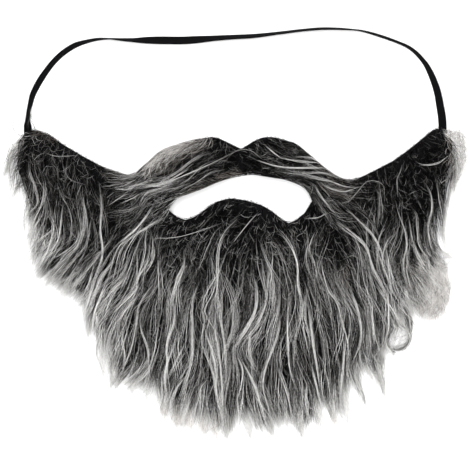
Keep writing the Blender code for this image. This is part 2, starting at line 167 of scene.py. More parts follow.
def column(table, name):
    return np.array([getattr(row, name) for row in table]) * MM


def read_table(table, name, x):
    return np.interp(x, column(table, "x"), column(table, name))


def smooth_step(value, start, end):
    share = np.clip((value - start) / (end - start), 0, 1)
    return share * share * (3 - 2 * share)


def tab_lift(x):
    return TAB_LIFT * smooth_step(np.abs(x), TAB_FROM, TAB_TO)


def lap_lift(x):
    return LAP_LIFT * smooth_step(np.abs(x - LAP_MIDDLE), LAP_FROM, LAP_TO)


def soft_table(rows, values):
    """A function of points that blends the values of the table's rows, the nearest most."""
    places = np.stack([column(rows, "x"), column(rows, "y")], axis=1)

    def read(points):
        apart = points[:, None, :] - places[None]
        weight = 1 / ((apart**2).sum(axis=2) + LIE_NEAR**2) ** 2
        return weight @ values / weight.sum(axis=1, keepdims=True)

    return read


def way_field(lies):
    leans = np.radians(np.array([row.lean for row in lies], float))
    return soft_table(lies, np.stack([np.sin(leans), -np.cos(leans)], axis=1))


def soft_noise(rng, count, spread):
    """A smooth function of points, from -1 to 1, made of count waves of about that length."""
    turns = rng.uniform(0, 2 * math.pi, count)
    size = 2 * math.pi / (spread * rng.uniform(0.7, 1.6, count))
    ways = np.stack([np.cos(turns), np.sin(turns)], axis=1) * size[:, None]
    phases = rng.uniform(0, 2 * math.pi, count)

    def noise(points):
        return np.sin(points @ ways.T + phases).sum(axis=-1) / math.sqrt(count)

    return noise


def add_object(name, mesh, paint):
    """The mesh as an object of the scene, in this paint."""
    mesh.materials.append(paint)
    obj = bpy.data.objects.new(name, mesh)
    bpy.context.scene.collection.objects.link(obj)
    return obj


def tube_mesh(name, paths, radii, tones, paint):
    """One mesh of closed tapering fibres along paths (strand, station, xyz). Its UV map holds tone and way along."""
    count, stations, _ = paths.shape
    body = stations - 1
    tangent = np.gradient(paths, axis=1)
    tangent /= np.linalg.norm(tangent, axis=2, keepdims=True) + 1e-12
    side = np.stack([tangent[..., 1], -tangent[..., 0], np.zeros((count, stations))], axis=2)
    side /= np.linalg.norm(side, axis=2, keepdims=True) + 1e-9
    over = np.cross(side, tangent)
    roll = (np.arange(count) * GOLDEN_TURN) % (2 * math.pi)
    angles = roll[:, None] + np.arange(FIBRE_SIDES) * 2 * math.pi / FIBRE_SIDES
    ring = (
        side[:, :body, None] * np.cos(angles)[:, None, :, None]
        + over[:, :body, None] * np.sin(angles)[:, None, :, None]
    )
    verts = paths[:, :body, None] + ring * radii[:, :body, None, None]
    verts = np.concatenate([verts.reshape(count, -1, 3), paths[:, -1:]], axis=1)
    per = body * FIBRE_SIDES + 1

    quads, tips = [], []
    for row in range(body - 1):
        for i in range(FIBRE_SIDES):
            j = (i + 1) % FIBRE_SIDES
            low, high = row * FIBRE_SIDES, (row + 1) * FIBRE_SIDES
            quads.append((low + i, low + j, high + j, high + i))
    last = (body - 1) * FIBRE_SIDES
    for i in range(FIBRE_SIDES):
        tips.append((last + i, last + (i + 1) % FIBRE_SIDES, per - 1))
    cap = list(reversed(range(FIBRE_SIDES)))
    one = [corner for face in quads for corner in face] + [corner for face in tips for corner in face] + cap
    sizes = [4] * len(quads) + [3] * (len(tips) + 1)
    corners = (np.arange(count)[:, None] * per + np.array(one)).reshape(-1)
    totals = np.tile(sizes, count)

    mesh = bpy.data.meshes.new(name)
    mesh.vertices.add(count * per)
    mesh.vertices.foreach_set("co", verts.reshape(-1).astype(np.float32))
    mesh.loops.add(len(corners))
    mesh.loops.foreach_set("vertex_index", corners.astype(np.int32))
    mesh.polygons.add(len(totals))
    starts = np.concatenate([[0], np.cumsum(totals)[:-1]])
    mesh.polygons.foreach_set("loop_start", starts.astype(np.int32))
    mesh.polygons.foreach_set("loop_total", totals.astype(np.int32))
    mesh.polygons.foreach_set("use_smooth", np.ones(len(totals), bool))

    along = np.concatenate([np.repeat(np.arange(body) / body, FIBRE_SIDES), [1.0]])
    round_it = np.concatenate([np.tile(np.arange(FIBRE_SIDES) / FIBRE_SIDES, body), [0.5]])
    tone = np.concatenate([np.repeat(tones[:, :body], FIBRE_SIDES, axis=1), tones[:, -1:]], axis=1)
    u = tone + (round_it[None] - 0.5) * TONE_BAND
    uv_points = np.stack([u, np.broadcast_to(along, u.shape)], axis=2).reshape(-1, 2)
    uv = mesh.uv_layers.new(name="OFBake")
    uv.data.foreach_set("uv", uv_points[corners].reshape(-1).astype(np.float32))
    mesh.update()
    mesh.validate()
    return add_object(name, mesh, paint)


# The fine change of tone along a strand: how many swings over the tones and along the strand, and how much
GRAIN_FINE = (320.0, 30.0, 1.0)
GRAIN_DEEP = 0.15
# How much hair and cloth mirror, as the shader's specular level
MIRROR_LEVEL = 0.04


def new_paint(name):
    """A new material, with its node tree and its shader."""
    made = bpy.data.materials.new(name)
    made.use_nodes = True
    return made, made.node_tree, made.node_tree.nodes["Principled BSDF"]


def feed(tree, node, inputs):
    """Each named input of the node set to its value, or joined to the socket given for it."""
    for name, value in inputs.items():
        if isinstance(value, bpy.types.NodeSocket):
            tree.links.new(value, node.inputs[name])
        else:
            node.inputs[name].default_value = value


def add_node(tree, kind, inputs=None, **settings):
    """A new shader node with these settings and inputs."""
    node = tree.nodes.new("ShaderNode" + kind)
    for name, value in settings.items():
        setattr(node, name, value)
    feed(tree, node, inputs or {})
    return node


def add_ramp(tree, stops, source):
    """The colour that runs over these stops, each a place and a colour or grey, read at the value of the source."""
    node = add_node(tree, "ValToRGB", {"Fac": source})
    ramp = node.color_ramp
    while len(ramp.elements) > 1:
        ramp.elements.remove(ramp.elements[-1])
    for i, (place, colour) in enumerate(stops):
        stop = ramp.elements[0] if i == 0 else ramp.elements.new(place)
        stop.position = place
        stop.color = (*np.broadcast_to(colour, 3), 1.0)
    return node.outputs["Color"]


def hair_paint(name, tones, root_shade, rough=0.6):
    """Hair whose colour runs over the tone stops, darkened near the root, both read from the strand's UV."""
    made, tree, shader = new_paint(name)
    where = add_node(tree, "UVMap", uv_map="OFBake").outputs["UV"]
    split = add_node(tree, "SeparateXYZ", {"Vector": where})
    stretch = add_node(tree, "VectorMath", {0: where, 1: GRAIN_FINE}, operation="MULTIPLY")
    grain = add_node(tree, "TexNoise", {"Vector": stretch.outputs["Vector"], "Scale": 1.0, "Detail": 1.0})
    swing = add_node(tree, "MapRange", {"Value": grain.outputs["Fac"], "From Min": 0.3, "From Max": 0.7,
                                        "To Min": -GRAIN_DEEP, "To Max": GRAIN_DEEP})
    grained = add_node(tree, "Math", {0: split.outputs["X"], 1: swing.outputs["Result"]})
    colour = add_ramp(tree, tones, grained.outputs["Value"])
    fade = add_ramp(tree, root_shade, split.outputs["Y"])
    mix = add_node(tree, "Mix", {"Factor": 1.0, 6: colour, 7: fade}, data_type="RGBA", blend_type="MULTIPLY")
    feed(tree, shader, {"Roughness": rough, "Specular IOR Level": MIRROR_LEVEL, "Base Color": mix.outputs[2]})
    return made


# The plan's bounds for what is read on a grid, and the steps of a growing strand
FIELD_LOW, FIELD_HIGH = np.array([-165, -115]) * MM, np.array([165, 115]) * MM
GROW_STEPS = 40

# The colour of each tone of hair and thread, from 0, the darkest, to 1
GREY_TONES = [
    (0.00, (0.0015, 0.0015, 0.0015)),
    (0.25, (0.009, 0.0087, 0.0085)),
    (0.50, (0.072, 0.070, 0.067)),
    (0.75, (0.36, 0.353, 0.342)),
    (1.00, (0.92, 0.915, 0.90)),
]
TAN_TONES = [
    (0.00, (0.008, 0.006, 0.005)),
    (0.50, (0.12, 0.106, 0.096)),
    (0.75, (0.41, 0.38, 0.355)),
    (1.00, (0.92, 0.895, 0.87)),
]
THREAD_TONES = [(0.00, 0.01), (1.00, (0.22, 0.22, 0.225))]
# How light a strand is from its root to its tip, in the coats and where it lies loose on top
ROOT_SHADE = [(0.00, 0.12), (0.22, 0.45), (0.50, 0.95), (1.00, 1.0)]
LOOSE_SHADE = [(0.00, 0.20), (0.30, 0.85), (1.00, 1.0)]

# The coats of hair, from the lowest up: tufts to a square mm, hairs in a tuft and how far apart, stations along a
# hair, its thickness and length, the turn of a tuft and of a hair, how far they close into clumps, the height of
# their waves and of each hair's crimp, between which shares of the pile they lie, their dark and pale tones, and how
# much the tones of one tuft vary
Layer = collections.namedtuple(
    "Layer",
    "density hairs apart stations thick short long turn stray loose close wave crimp low high dark pale varied",
)
UNDERCOAT = Layer(0.17, 1, 0, 6, 0.30, 9, 19, 0.5, 0, 0.1, 0.3, 0.4, 0.55, 0.10, 0.50, 0.17, 0.48, 0.06)
MAIN_COAT = Layer(0.094, 3, 0.50, 8, 0.22, 34, 58, 0.06, 0.03, 0.2, 0.8, 1.1, 0, 0.30, 0.85, 0.23, 0.74, 0.11)
TOP_COAT = Layer(0.010, 4, 0.60, 12, 0.20, 40, 64, 0.14, 0.035, 0.2, 0.4, 1.8, 0.20, 0.80, 1.0, 0.74, 0.90, 0.13)
EDGE_COAT = Layer(0.060, 3, 0.50, 7, 0.23, 24, 46, 0.12, 0.03, 0.4, 0.9, 0.8, 0, 0.20, 0.80, 0.40, 0.70, 0.08)
LIP_COAT = Layer(0.36, 3, 0.42, 8, 0.20, 18, 38, 0.15, 0.05, 0.1, 0.5, 0.7, 0.3, 0.15, 0.95, 0.24, 0.68, 0.12)
# How much painted shade darkens a tuft towards its clump's rim, where it lies lower, and lightens it at the raised
# middle, how its height follows its place in its clump, and how its tone follows the soft patches and the streaks
CLUMP_RIM_SHADE, PLACE_LIFT, PATCH_TONE, STREAK_TONE = 0.12, 0.12, 0.04, 0.12
# How thick the short hairs are, and how many clumps and frizzy hairs there are to a square mm
FUZZ_THICK, TUFT_THICK, FRIZZ_THICK = 0.19 * MM, 0.18 * MM, 0.13 * MM
CHEEK_CLUMPS, LIP_CLUMPS = 0.014, 0.03
# How clumps differ: their turn, how much shorter some are, their tone, and the height and length of their waves
CLUMP_TURN, CLUMP_SHORT, CLUMP_TONE = 0.10, 9 * MM, 0.11
CLUMP_HIGH, CLUMP_WAVE = (0.4, 1.4), (36, 62)
# How far a lone strand turns with the soft swirl of the whole coat
SWIRL_TURN = 0.10
CHEEK_FRIZZ, LIP_FRIZZ = 0.21, 0.30

# The bundles of hair that show most, each set out by points of a grid, in steps of 0.62 mm with y down the chin
GRID_STEP = 0.62 * MM
GRID_MIDDLE = np.array([235.5, 285.0])
# The outline that the hair reaches, from the right ear tab round the chin to the left one, and back far above
HAIR_OUTLINE = (
    (-20, 60), (24, 130), (14, 142), (7, 155), (3, 168), (2, 177), (7, 190), (12, 200), (20, 203), (23, 217), (29, 229),
    (27, 240), (23, 250), (28, 263), (33, 273), (38, 284), (44, 293), (55, 293), (63, 300), (72, 309), (78, 319),
    (80, 330), (84, 340), (95, 347), (100, 354), (102, 364), (105, 374), (110, 386), (114, 392), (121, 394), (125, 391),
    (132, 400), (138, 393), (146, 405), (152, 400), (158, 411), (165, 419), (173, 426), (186, 429), (193, 435),
    (203, 438), (213, 439), (220, 443), (233, 442), (241, 431), (246, 422), (249, 438), (253, 444), (258, 438),
    (265, 437), (273, 441), (280, 436), (283, 427), (288, 434), (291, 429), (296, 441), (304, 443), (308, 434),
    (314, 430), (322, 436), (325, 412), (331, 424), (337, 432), (338, 416), (345, 424), (349, 434), (351, 402),
    (354, 391), (360, 398), (366, 409), (363, 388), (361, 377), (366, 376), (375, 384), (385, 399), (387, 380),
    (388, 352), (396, 361), (396, 350), (404, 347), (412, 342), (414, 334), (412, 323), (425, 327), (437, 326),
    (444, 318), (449, 305), (450, 292), (453, 286), (447, 278), (447, 269), (450, 263), (457, 261), (452, 251),
    (446, 241), (447, 230), (449, 218), (452, 206), (454, 194), (456, 188), (462, 177), (466, 164), (469, 152),
    (468, 142), (463, 134), (455, 128), (449, 127), (490, 60),
)
Bundle = collections.namedtuple("Bundle", "strands wide tone points")
CHEEK_BUNDLES = [Bundle(*row) for row in (
    (8, 0.9, 0.83, ((100, 183), (104, 207), (102, 230), (104, 254), (97, 279), (90, 297))),
    (10, 1.2, 0.81, ((86, 200), (85, 230), (80, 245), (68, 258), (45, 282))),
    (8, 0.9, 0.81, ((64, 200), (63, 224), (60, 240), (53, 252), (40, 270))),
    (5, 0.6, 0.80, ((68, 222), (79, 231), (79, 240), (71, 249), (58, 258))),
    (9, 0.9, 0.95, ((157, 200), (145, 220), (134, 232), (121, 243))),
    (6, 0.7, 0.87, ((171, 216), (150, 227), (121, 246))),
    (12, 1.3, 0.96, ((118, 247), (114, 262), (105, 275), (98, 290), (90, 304))),
    (7, 0.8, 0.87, ((139, 248), (139, 265), (138, 280), (130, 296))),
    (6, 0.7, 0.81, ((151, 225), (154, 250), (152, 262), (144, 272))),
    (7, 0.9, 0.75, ((30, 155), (31, 170), (38, 190), (40, 205), (30, 215), (26, 222))),
    (6, 0.8, 0.79, ((150, 239), (155, 246), (154, 262), (146, 275))),
    (6, 0.8, 0.80, ((183, 248), (185, 262), (178, 278), (173, 300))),
    (8, 1.2, 0.75, ((42, 172), (47, 190), (44, 205), (36, 222), (30, 240))),
    (8, 1.2, 0.73, ((52, 205), (56, 225), (55, 240), (44, 262), (34, 276))),
    (8, 1.3, 0.75, ((96, 205), (92, 225), (88, 245), (74, 262), (56, 285))),
    (8, 1.1, 0.73, ((116, 222), (112, 240), (100, 256), (84, 276), (70, 298))),
    (5, 0.6, 0.80, ((128, 258), (126, 275), (112, 292), (98, 318))),
    (7, 0.9, 0.83, ((110, 268), (100, 290), (92, 305), (85, 322))),
    (8, 1.3, 0.70, ((18, 146), (12, 156), (9, 168), (6, 180))),
    (8, 1.3, 0.73, ((24, 160), (17, 172), (12, 188), (12, 198))),
    (9, 1.3, 0.75, ((30, 196), (26, 212), (25, 226), (26, 240))),
    (9, 1.3, 0.79, ((42, 232), (36, 250), (34, 262), (30, 272))),
    (10, 1.1, 0.96, ((328, 212), (342, 226), (355, 236), (365, 246), (372, 268), (384, 291), (388, 304))),
    (7, 0.8, 0.83, ((343, 206), (360, 223), (372, 236), (380, 252), (384, 268))),
    (7, 0.8, 0.81, ((395, 200), (398, 215), (403, 228), (406, 246), (402, 262), (403, 275), (407, 290))),
    (7, 0.8, 0.79, ((403, 200), (415, 213), (417, 230), (418, 245), (426, 258), (436, 272))),
    (8, 1.0, 0.77, ((420, 177), (430, 195), (431, 210), (427, 228), (429, 243), (437, 258))),
    (7, 0.9, 0.75, ((436, 172), (437, 195), (441, 215), (441, 236))),
    (7, 0.8, 0.79, ((393, 222), (380, 235), (377, 250), (382, 265), (389, 285), (391, 304))),
    (6, 0.8, 0.77, ((400, 228), (385, 245), (381, 258), (384, 276))),
    (7, 0.9, 0.80, ((322, 250), (322, 270), (327, 288), (338, 304))),
    (7, 1.0, 0.77, ((305, 220), (308, 245), (306, 260), (312, 280))),
    (7, 0.9, 0.79, ((322, 224), (312, 240), (309, 250), (314, 262), (318, 284))),
    (9, 1.2, 0.71, ((448, 150), (455, 162), (456, 176), (452, 190))),
    (9, 1.2, 0.75, ((444, 200), (445, 216), (444, 232), (446, 246))),
    (9, 1.2, 0.77, ((428, 252), (436, 262), (444, 268), (451, 270))),
    (9, 1.4, 0.77, ((418, 262), (430, 276), (440, 288), (449, 296))),
    (9, 1.4, 0.79, ((408, 272), (420, 290), (432, 304), (442, 318))),
    (6, 0.8, 0.69, ((350, 215), (370, 232), (376, 244))),
    (4, 0.5, 0.65, ((402, 165), (396, 182), (396, 196))),
)]
CHIN_BUNDLES = [Bundle(*row) for row in (
    (9, 1.0, 0.90, ((240, 218), (226, 232), (220, 245), (218, 265), (217, 290), (214, 305))),
    (4, 0.5, 0.82, ((261, 210), (250, 222), (232, 245))),
    (9, 1.2, 0.88, ((273, 224), (283, 235), (291, 246), (297, 262), (298, 285), (303, 304))),
    (12, 1.2, 0.98, ((100, 270), (92, 295), (85, 315), (83, 322))),
    (10, 1.0, 0.97, ((112, 270), (103, 295), (97, 310), (92, 335))),
    (8, 0.8, 0.94, ((133, 270), (115, 290), (100, 307))),
    (6, 0.7, 0.92, ((138, 275), (139, 285), (128, 300), (118, 310))),
    (12, 1.2, 0.95, ((165, 272), (150, 290), (140, 305), (137, 325), (132, 350), (120, 378))),
    (8, 0.8, 0.92, ((143, 310), (142, 328), (148, 345), (150, 360), (149, 380))),
    (11, 1.2, 0.92, ((175, 290), (175, 320), (168, 345), (168, 360), (167, 385))),
    (11, 1.1, 0.94, ((195, 275), (192, 305), (193, 340), (192, 360), (185, 385), (180, 400))),
    (11, 1.1, 0.94, ((203, 320), (212, 350), (217, 375), (217, 390))),
    (11, 1.2, 0.90, ((215, 290), (214, 320), (218, 345), (222, 380), (223, 400), (221, 425))),
    (9, 0.9, 0.88, ((223, 275), (221, 310), (226, 350), (227, 380))),
    (4, 0.4, 0.94, ((213, 375), (202, 387), (201, 400), (202, 412))),
    (14, 1.3, 0.96, ((255, 275), (257, 295), (255, 312), (245, 330), (235, 347))),
    (6, 0.6, 0.96, ((235, 350), (243, 368), (241, 388), (237, 400))),
    (10, 1.0, 0.94, ((279, 290), (280, 320), (272, 350), (265, 370), (263, 385), (268, 405), (272, 420))),
    (9, 1.2, 0.88, ((295, 285), (288, 310), (288, 345), (290, 370), (297, 390))),
    (10, 1.1, 0.94, ((307, 290), (310, 320), (313, 345), (316, 365), (320, 390))),
    (8, 0.8, 0.95, ((323, 270), (330, 290), (338, 305), (343, 325), (348, 350), (348, 365))),
    (8, 0.8, 0.92, ((345, 275), (352, 295), (357, 310), (360, 340), (353, 360))),
    (8, 0.8, 0.92, ((370, 275), (385, 300), (400, 322), (407, 330))),
    (8, 0.8, 0.94, ((385, 275), (388, 305), (387, 340))),
    (7, 0.7, 0.92, ((370, 290), (372, 320), (374, 345))),
    (5, 0.5, 0.92, ((252, 270), (258, 300), (250, 325), (232, 350))),
    (12, 1.3, 0.92, ((238, 352), (252, 378), (262, 405), (268, 428))),
    (10, 1.2, 0.90, ((271, 355), (281, 375), (289, 400), (294, 424))),
    (8, 0.9, 0.92, ((309, 355), (315, 378), (320, 400), (324, 412))),
    (8, 0.9, 0.92, ((345, 325), (344, 350), (342, 375), (340, 402))),
    (9, 1.2, 0.90, ((306, 375), (306, 398), (308, 420))),
    (7, 0.8, 0.86, ((362, 345), (368, 368), (373, 380))),
    (12, 1.6, 0.84, ((352, 362), (357, 380), (362, 393), (366, 405))),
    (12, 1.6, 0.88, ((370, 345), (378, 365), (383, 380), (384, 393))),
    (6, 0.7, 0.84, ((396, 324), (404, 331), (405, 339), (399, 346), (394, 349))),
    (10, 1.1, 0.90, ((160, 352), (148, 372), (132, 386), (121, 398))),
    (9, 1.0, 0.88, ((100, 335), (98, 355), (103, 370), (105, 385))),
    (9, 1.1, 0.88, ((180, 330), (172, 352), (166, 372), (168, 398))),
    (9, 1.0, 0.90, ((128, 318), (124, 338), (126, 356), (124, 372))),
    (11, 1.1, 0.90, ((200, 330), (206, 352), (213, 370), (218, 398), (224, 420))),
    (9, 1.1, 0.88, ((190, 372), (178, 388), (172, 402), (170, 416))),
)]
MOUSTACHE_BUNDLES = [Bundle(*row) for row in (
    (5, 0.6, 0.86, ((238, 148), (225, 157), (200, 170), (176, 180), (155, 187), (140, 190))),
    (5, 0.6, 0.88, ((250, 158), (262, 163), (283, 168), (310, 169), (330, 169))),
    (3, 0.4, 0.82, ((262, 143), (275, 155), (282, 160))),
    (2, 0.4, 0.66, ((224, 168), (230, 157), (240, 151), (252, 152), (262, 160))),
    (2, 0.4, 0.62, ((254, 150), (238, 152), (222, 160), (206, 170))),
    (7, 0.9, 0.84, ((200, 160), (188, 170), (172, 180), (152, 186))),
    (7, 0.9, 0.80, ((212, 152), (194, 161), (180, 172), (160, 184))),
    (7, 0.9, 0.80, ((190, 178), (175, 182), (158, 186), (142, 186))),
    (5, 0.8, 0.74, ((215, 140), (196, 147), (180, 156), (165, 168))),
    (5, 0.8, 0.74, ((222, 158), (204, 166), (190, 180), (176, 188))),
    (5, 0.8, 0.74, ((230, 168), (212, 174), (196, 184), (180, 192))),
    (6, 0.8, 0.82, ((178, 186), (160, 190), (146, 196), (140, 206))),
    (6, 0.9, 0.86, ((152, 184), (140, 186), (130, 190), (116, 190))),
    (6, 0.7, 0.80, ((268, 152), (285, 160), (302, 163), (322, 164))),
    (6, 0.8, 0.78, ((262, 168), (282, 172), (302, 174), (322, 174), (344, 180))),
    (7, 1.0, 0.80, ((290, 174), (312, 178), (330, 182), (346, 188), (360, 188))),
    (7, 0.9, 0.80, ((284, 158), (305, 158), (322, 161), (336, 172), (350, 181))),
    (6, 0.8, 0.80, ((316, 178), (328, 188), (342, 192), (358, 188))),
    (6, 0.8, 0.78, ((312, 182), (320, 196), (330, 210))),
)]
# Locks that close to a point at the hair's outline
LOCKS = [Bundle(*row) for row in (
    (40, 4.4, 0.74, ((338, 360), (344, 385), (349, 428))),
    (24, 3.0, 0.70, ((330, 372), (333, 396), (337, 424))),
    (34, 4.2, 0.72, ((312, 375), (316, 400), (322, 430))),
    (40, 4.6, 0.76, ((296, 385), (300, 410), (303, 440))),
    (26, 3.4, 0.72, ((283, 392), (286, 412), (288, 430))),
    (44, 5.0, 0.74, ((262, 395), (268, 418), (273, 438))),
    (34, 3.6, 0.76, ((240, 400), (247, 420), (252, 441))),
    (40, 5.0, 0.76, ((222, 395), (226, 418), (227, 440))),
    (34, 4.6, 0.74, ((206, 390), (206, 416), (207, 436))),
    (34, 4.4, 0.72, ((195, 385), (187, 405), (182, 426))),
    (34, 4.4, 0.72, ((172, 380), (166, 398), (164, 414))),
    (26, 3.6, 0.70, ((155, 372), (149, 388), (146, 402))),
    (26, 3.6, 0.68, ((136, 368), (134, 382), (132, 397))),
    (26, 3.6, 0.68, ((112, 350), (114, 370), (118, 392))),
    (26, 3.6, 0.70, ((96, 312), (90, 326), (88, 340))),
    (26, 3.6, 0.70, ((78, 280), (66, 292), (60, 297))),
    (30, 4.0, 0.72, ((64, 262), (52, 278), (44, 290))),
    (26, 3.4, 0.70, ((46, 240), (36, 254), (29, 263))),
    (26, 3.4, 0.68, ((40, 205), (33, 224), (28, 240))),
    (26, 3.2, 0.70, ((26, 180), (18, 190), (12, 199))),
    (26, 3.2, 0.66, ((26, 150), (12, 162), (4, 178))),
    (24, 3.2, 0.74, ((430, 240), (442, 252), (454, 260))),
    (20, 2.6, 0.78, ((436, 262), (444, 274), (451, 285))),
    (22, 2.4, 0.74, ((383, 325), (386, 342), (395, 358))),
)]
# Locks that stay dark to their points
DARK_LOCKS = [Bundle(*row) for row in (
    (44, 5.0, 0.72, ((372, 335), (378, 360), (385, 396))),
    (34, 3.8, 0.58, ((348, 352), (356, 376), (366, 406))),
)]
# Locks that are pale along their whole length
PALE_LOCKS = [Bundle(*row) for row in (
    (26, 4.0, 0.88, ((168, 396), (165, 408), (164, 420))),
    (34, 5.0, 0.90, ((180, 400), (177, 414), (177, 429))),
    (34, 5.0, 0.91, ((191, 402), (189, 418), (190, 434))),
    (34, 5.0, 0.91, ((203, 404), (202, 420), (203, 438))),
    (30, 5.0, 0.89, ((215, 408), (215, 424), (215, 441))),
    (16, 3.0, 0.87, ((330, 404), (334, 418), (337, 430))),
)]
# Locks that curl round the gap
CURLS = [Bundle(*row) for row in (
    (80, 3.0, 0.58, ((402, 304), (408, 318), (408, 333), (403, 342), (394, 345))),
    (30, 2.0, 0.58, ((388, 318), (389, 332), (390, 342), (396, 356))),
)]
# Patches of short curly hair: hairs, width and length in mm, tone and the line that they lie along
Tuft = collections.namedtuple("Tuft", "hairs wide long tone points")
TAN_TUFTS = [Tuft(*row) for row in (
    (360, 3.4, 9, 0.97, ((184, 146), (168, 153), (154, 163), (144, 174))),
    (50, 2.0, 9, 0.80, ((206, 139), (194, 143), (180, 148))),
    (150, 4.4, 11, 0.58, ((200, 149), (186, 154), (170, 162), (154, 176))),
    (150, 1.6, 8, 0.52, ((238, 175), (216, 183), (198, 190), (184, 199))),
    (80, 1.6, 8, 0.56, ((322, 164), (336, 174), (352, 181))),
    (80, 2.0, 9, 0.54, ((322, 184), (336, 192), (352, 196))),
)]
PALE_TUFTS = [Tuft(*row) for row in (
    (330, 4.6, 9, 0.92, ((449, 131), (460, 138), (464, 150), (462, 165), (457, 180), (453, 192))),
    (110, 3.4, 9, 0.66, ((450, 140), (455, 156), (452, 172), (450, 186))),
    (520, 9.0, 12, 0.95, ((418, 262), (436, 282), (438, 300), (432, 318))),
    (360, 6.0, 10, 0.97, ((446, 262), (446, 284), (442, 304), (428, 322))),
    (160, 6.0, 12, 0.80, ((410, 268), (418, 290), (420, 316))),
    (70, 3.0, 7, 0.40, ((34, 136), (44, 134), (58, 142))),
    (120, 2.6, 9, 0.84, ((20, 140), (9, 156), (5, 176))),
    (90, 1.4, 8, 0.46, ((106, 170), (122, 174), (140, 180))),
    (60, 2.0, 8, 0.70, ((343, 268), (344, 280), (347, 292))),
)]
LOOSE_HAIRS = [Bundle(*row) for row in (
    (5, 1.0, 0.44, ((38, 138), (37, 128), (34, 119), (33, 110))),
    (4, 1.0, 0.50, ((31, 137), (30, 128), (33, 118), (36, 108))),
    (4, 0.5, 0.42, ((27, 138), (18, 134), (15, 127), (18, 119), (22, 114))),
    (1, 0.3, 0.30, ((452, 133), (462, 136), (468, 143), (469, 150))),
    (1, 0.1, 0.82, ((231, 278), (239, 288), (246, 298))),
    (1, 0.4, 0.66, ((116, 240), (128, 247), (142, 250), (158, 247))),
    (1, 0.1, 0.74, ((340, 262), (352, 256), (362, 262))),
    (1, 0.1, 0.78, ((225, 296), (240, 288), (256, 272))),
    (2, 0.5, 0.66, ((40, 150), (55, 157), (78, 157))),
    (1, 0.4, 0.66, ((80, 160), (87, 167), (87, 172))),
    (3, 0.5, 0.74, ((140, 192), (128, 195), (109, 207))),
    (3, 0.8, 0.66, ((192, 247), (172, 245), (156, 249), (136, 249), (122, 242))),
    (3, 0.5, 0.70, ((225, 222), (200, 232), (175, 238), (152, 239))),
    (3, 0.5, 0.66, ((62, 160), (72, 180), (88, 186))),
    (3, 0.5, 0.64, ((56, 190), (68, 198), (80, 202))),
    (3, 0.5, 0.76, ((322, 192), (333, 203), (345, 204), (356, 194), (368, 182), (381, 185), (384, 203))),
    (4, 0.5, 0.82, ((303, 219), (312, 219), (318, 218), (327, 214))),
    (3, 0.5, 0.79, ((412, 158), (420, 165), (428, 166), (437, 164), (447, 157))),
    (2, 0.3, 0.86, ((231, 283), (239, 297), (232, 303))),
)]


def on_grid(points):
    return (np.array(points, float) - GRID_MIDDLE) * (GRID_STEP, -GRID_STEP)


def hair_depth(points):
    """How far inside the hair's outline each point is, below 0 outside it."""
    line = on_grid(HAIR_OUTLINE)
    apart, inside = np.full(len(points), 1.0), np.zeros(len(points), bool)
    for a, b in zip(line, np.roll(line, -1, axis=0)):
        run = b - a
        t = np.clip((points - a) @ run / (run @ run), 0, 1)
        apart = np.minimum(apart, np.linalg.norm(points - a - t[:, None] * run, axis=1))
        crosses = (a[1] > points[:, 1]) != (b[1] > points[:, 1])
        at = a[0] + (points[:, 1] - a[1]) * run[0] / (run[1] if run[1] else 1e-9)
        inside ^= crosses & (points[:, 0] < at)
    return np.where(inside, apart, -apart)[:, None]


def run_lengths(points):
    """How far along the line each of its points is."""
    return np.concatenate([[0], np.cumsum(np.linalg.norm(np.diff(points, axis=0), axis=1))])


def smooth_curve(along, points, at):
    """Points at distances at on a curve through points, with the slope at each from its two neighbours."""
    slope = np.gradient(points, along, axis=0)
    i = np.clip(np.searchsorted(along, at, side="right") - 1, 0, len(along) - 2)
    span = (along[i + 1] - along[i])[:, None]
    t = (at - along[i])[:, None] / span
    return (
        (2 * t**3 - 3 * t**2 + 1) * points[i]
        + (t**3 - 2 * t**2 + t) * span * slope[i]
        + (3 * t**2 - 2 * t**3) * points[i + 1]
        + (t**3 - t**2) * span * slope[i + 1]
    )


def with_bundles(lies, *tables):
    """The table of the pile's lie, with the run of every traced bundle added to it."""
    rows = list(lies)
    for bundle in (b for table in tables for b in table):
        points = on_grid(bundle.points) / MM
        for a, b in zip(points[:-1], points[1:]):
            lean = math.degrees(math.atan2(b[0] - a[0], a[1] - b[1]))
            rows += [Lie(*(a * (1 - t) + b * t), lean) for t in (0.25, 0.75)]
    return rows


def sampled(measure, step=2.0 * MM):
    """A function of points read once on a grid, and from then on between the grid's points."""
    counts = np.ceil((FIELD_HIGH - FIELD_LOW) / step).astype(int) + 1
    xs, ys = (FIELD_LOW[i] + np.arange(counts[i]) * step for i in (0, 1))
    grid = np.stack(np.meshgrid(xs, ys, indexing="ij"), axis=2).reshape(-1, 2)
    held = np.concatenate([measure(part) for part in np.array_split(grid, 12)])
    held = held.reshape(*counts, -1)

    def read(points):
        place = np.clip((points - FIELD_LOW) / step, 0, counts - 1.001)
        i, j = place.astype(int).reshape(-1, 2).T
        a, b = (place - place.astype(int)).reshape(-1, 2).T[:, :, None]
        found = (
            held[i, j] * (1 - a) * (1 - b)
            + held[i + 1, j] * a * (1 - b)
            + held[i, j + 1] * (1 - a) * b
            + held[i + 1, j + 1] * a * b
        )
        return found.reshape(*points.shape[:-1], -1)

    return read


def turned(ways, angles):
    c, s = np.cos(angles), np.sin(angles)
    return np.stack([ways[:, 0] * c - ways[:, 1] * s, ways[:, 0] * s + ways[:, 1] * c], axis=1)


def grow(way, starts, reach, turns, curl=0.0):
    """Plan paths (strand, step, xy) that follow the lie of the pile for the distance reach, turned by their angles."""
    path = np.empty((len(starts), GROW_STEPS + 1, 2))
    path[:, 0] = starts
    step = (reach / GROW_STEPS)[:, None]
    for i in range(GROW_STEPS):
        ahead = way(path[:, i])
        ahead /= np.linalg.norm(ahead, axis=1, keepdims=True) + 1e-9
        path[:, i + 1] = path[:, i] + turned(ahead, turns + curl * i / GROW_STEPS) * step
    return path


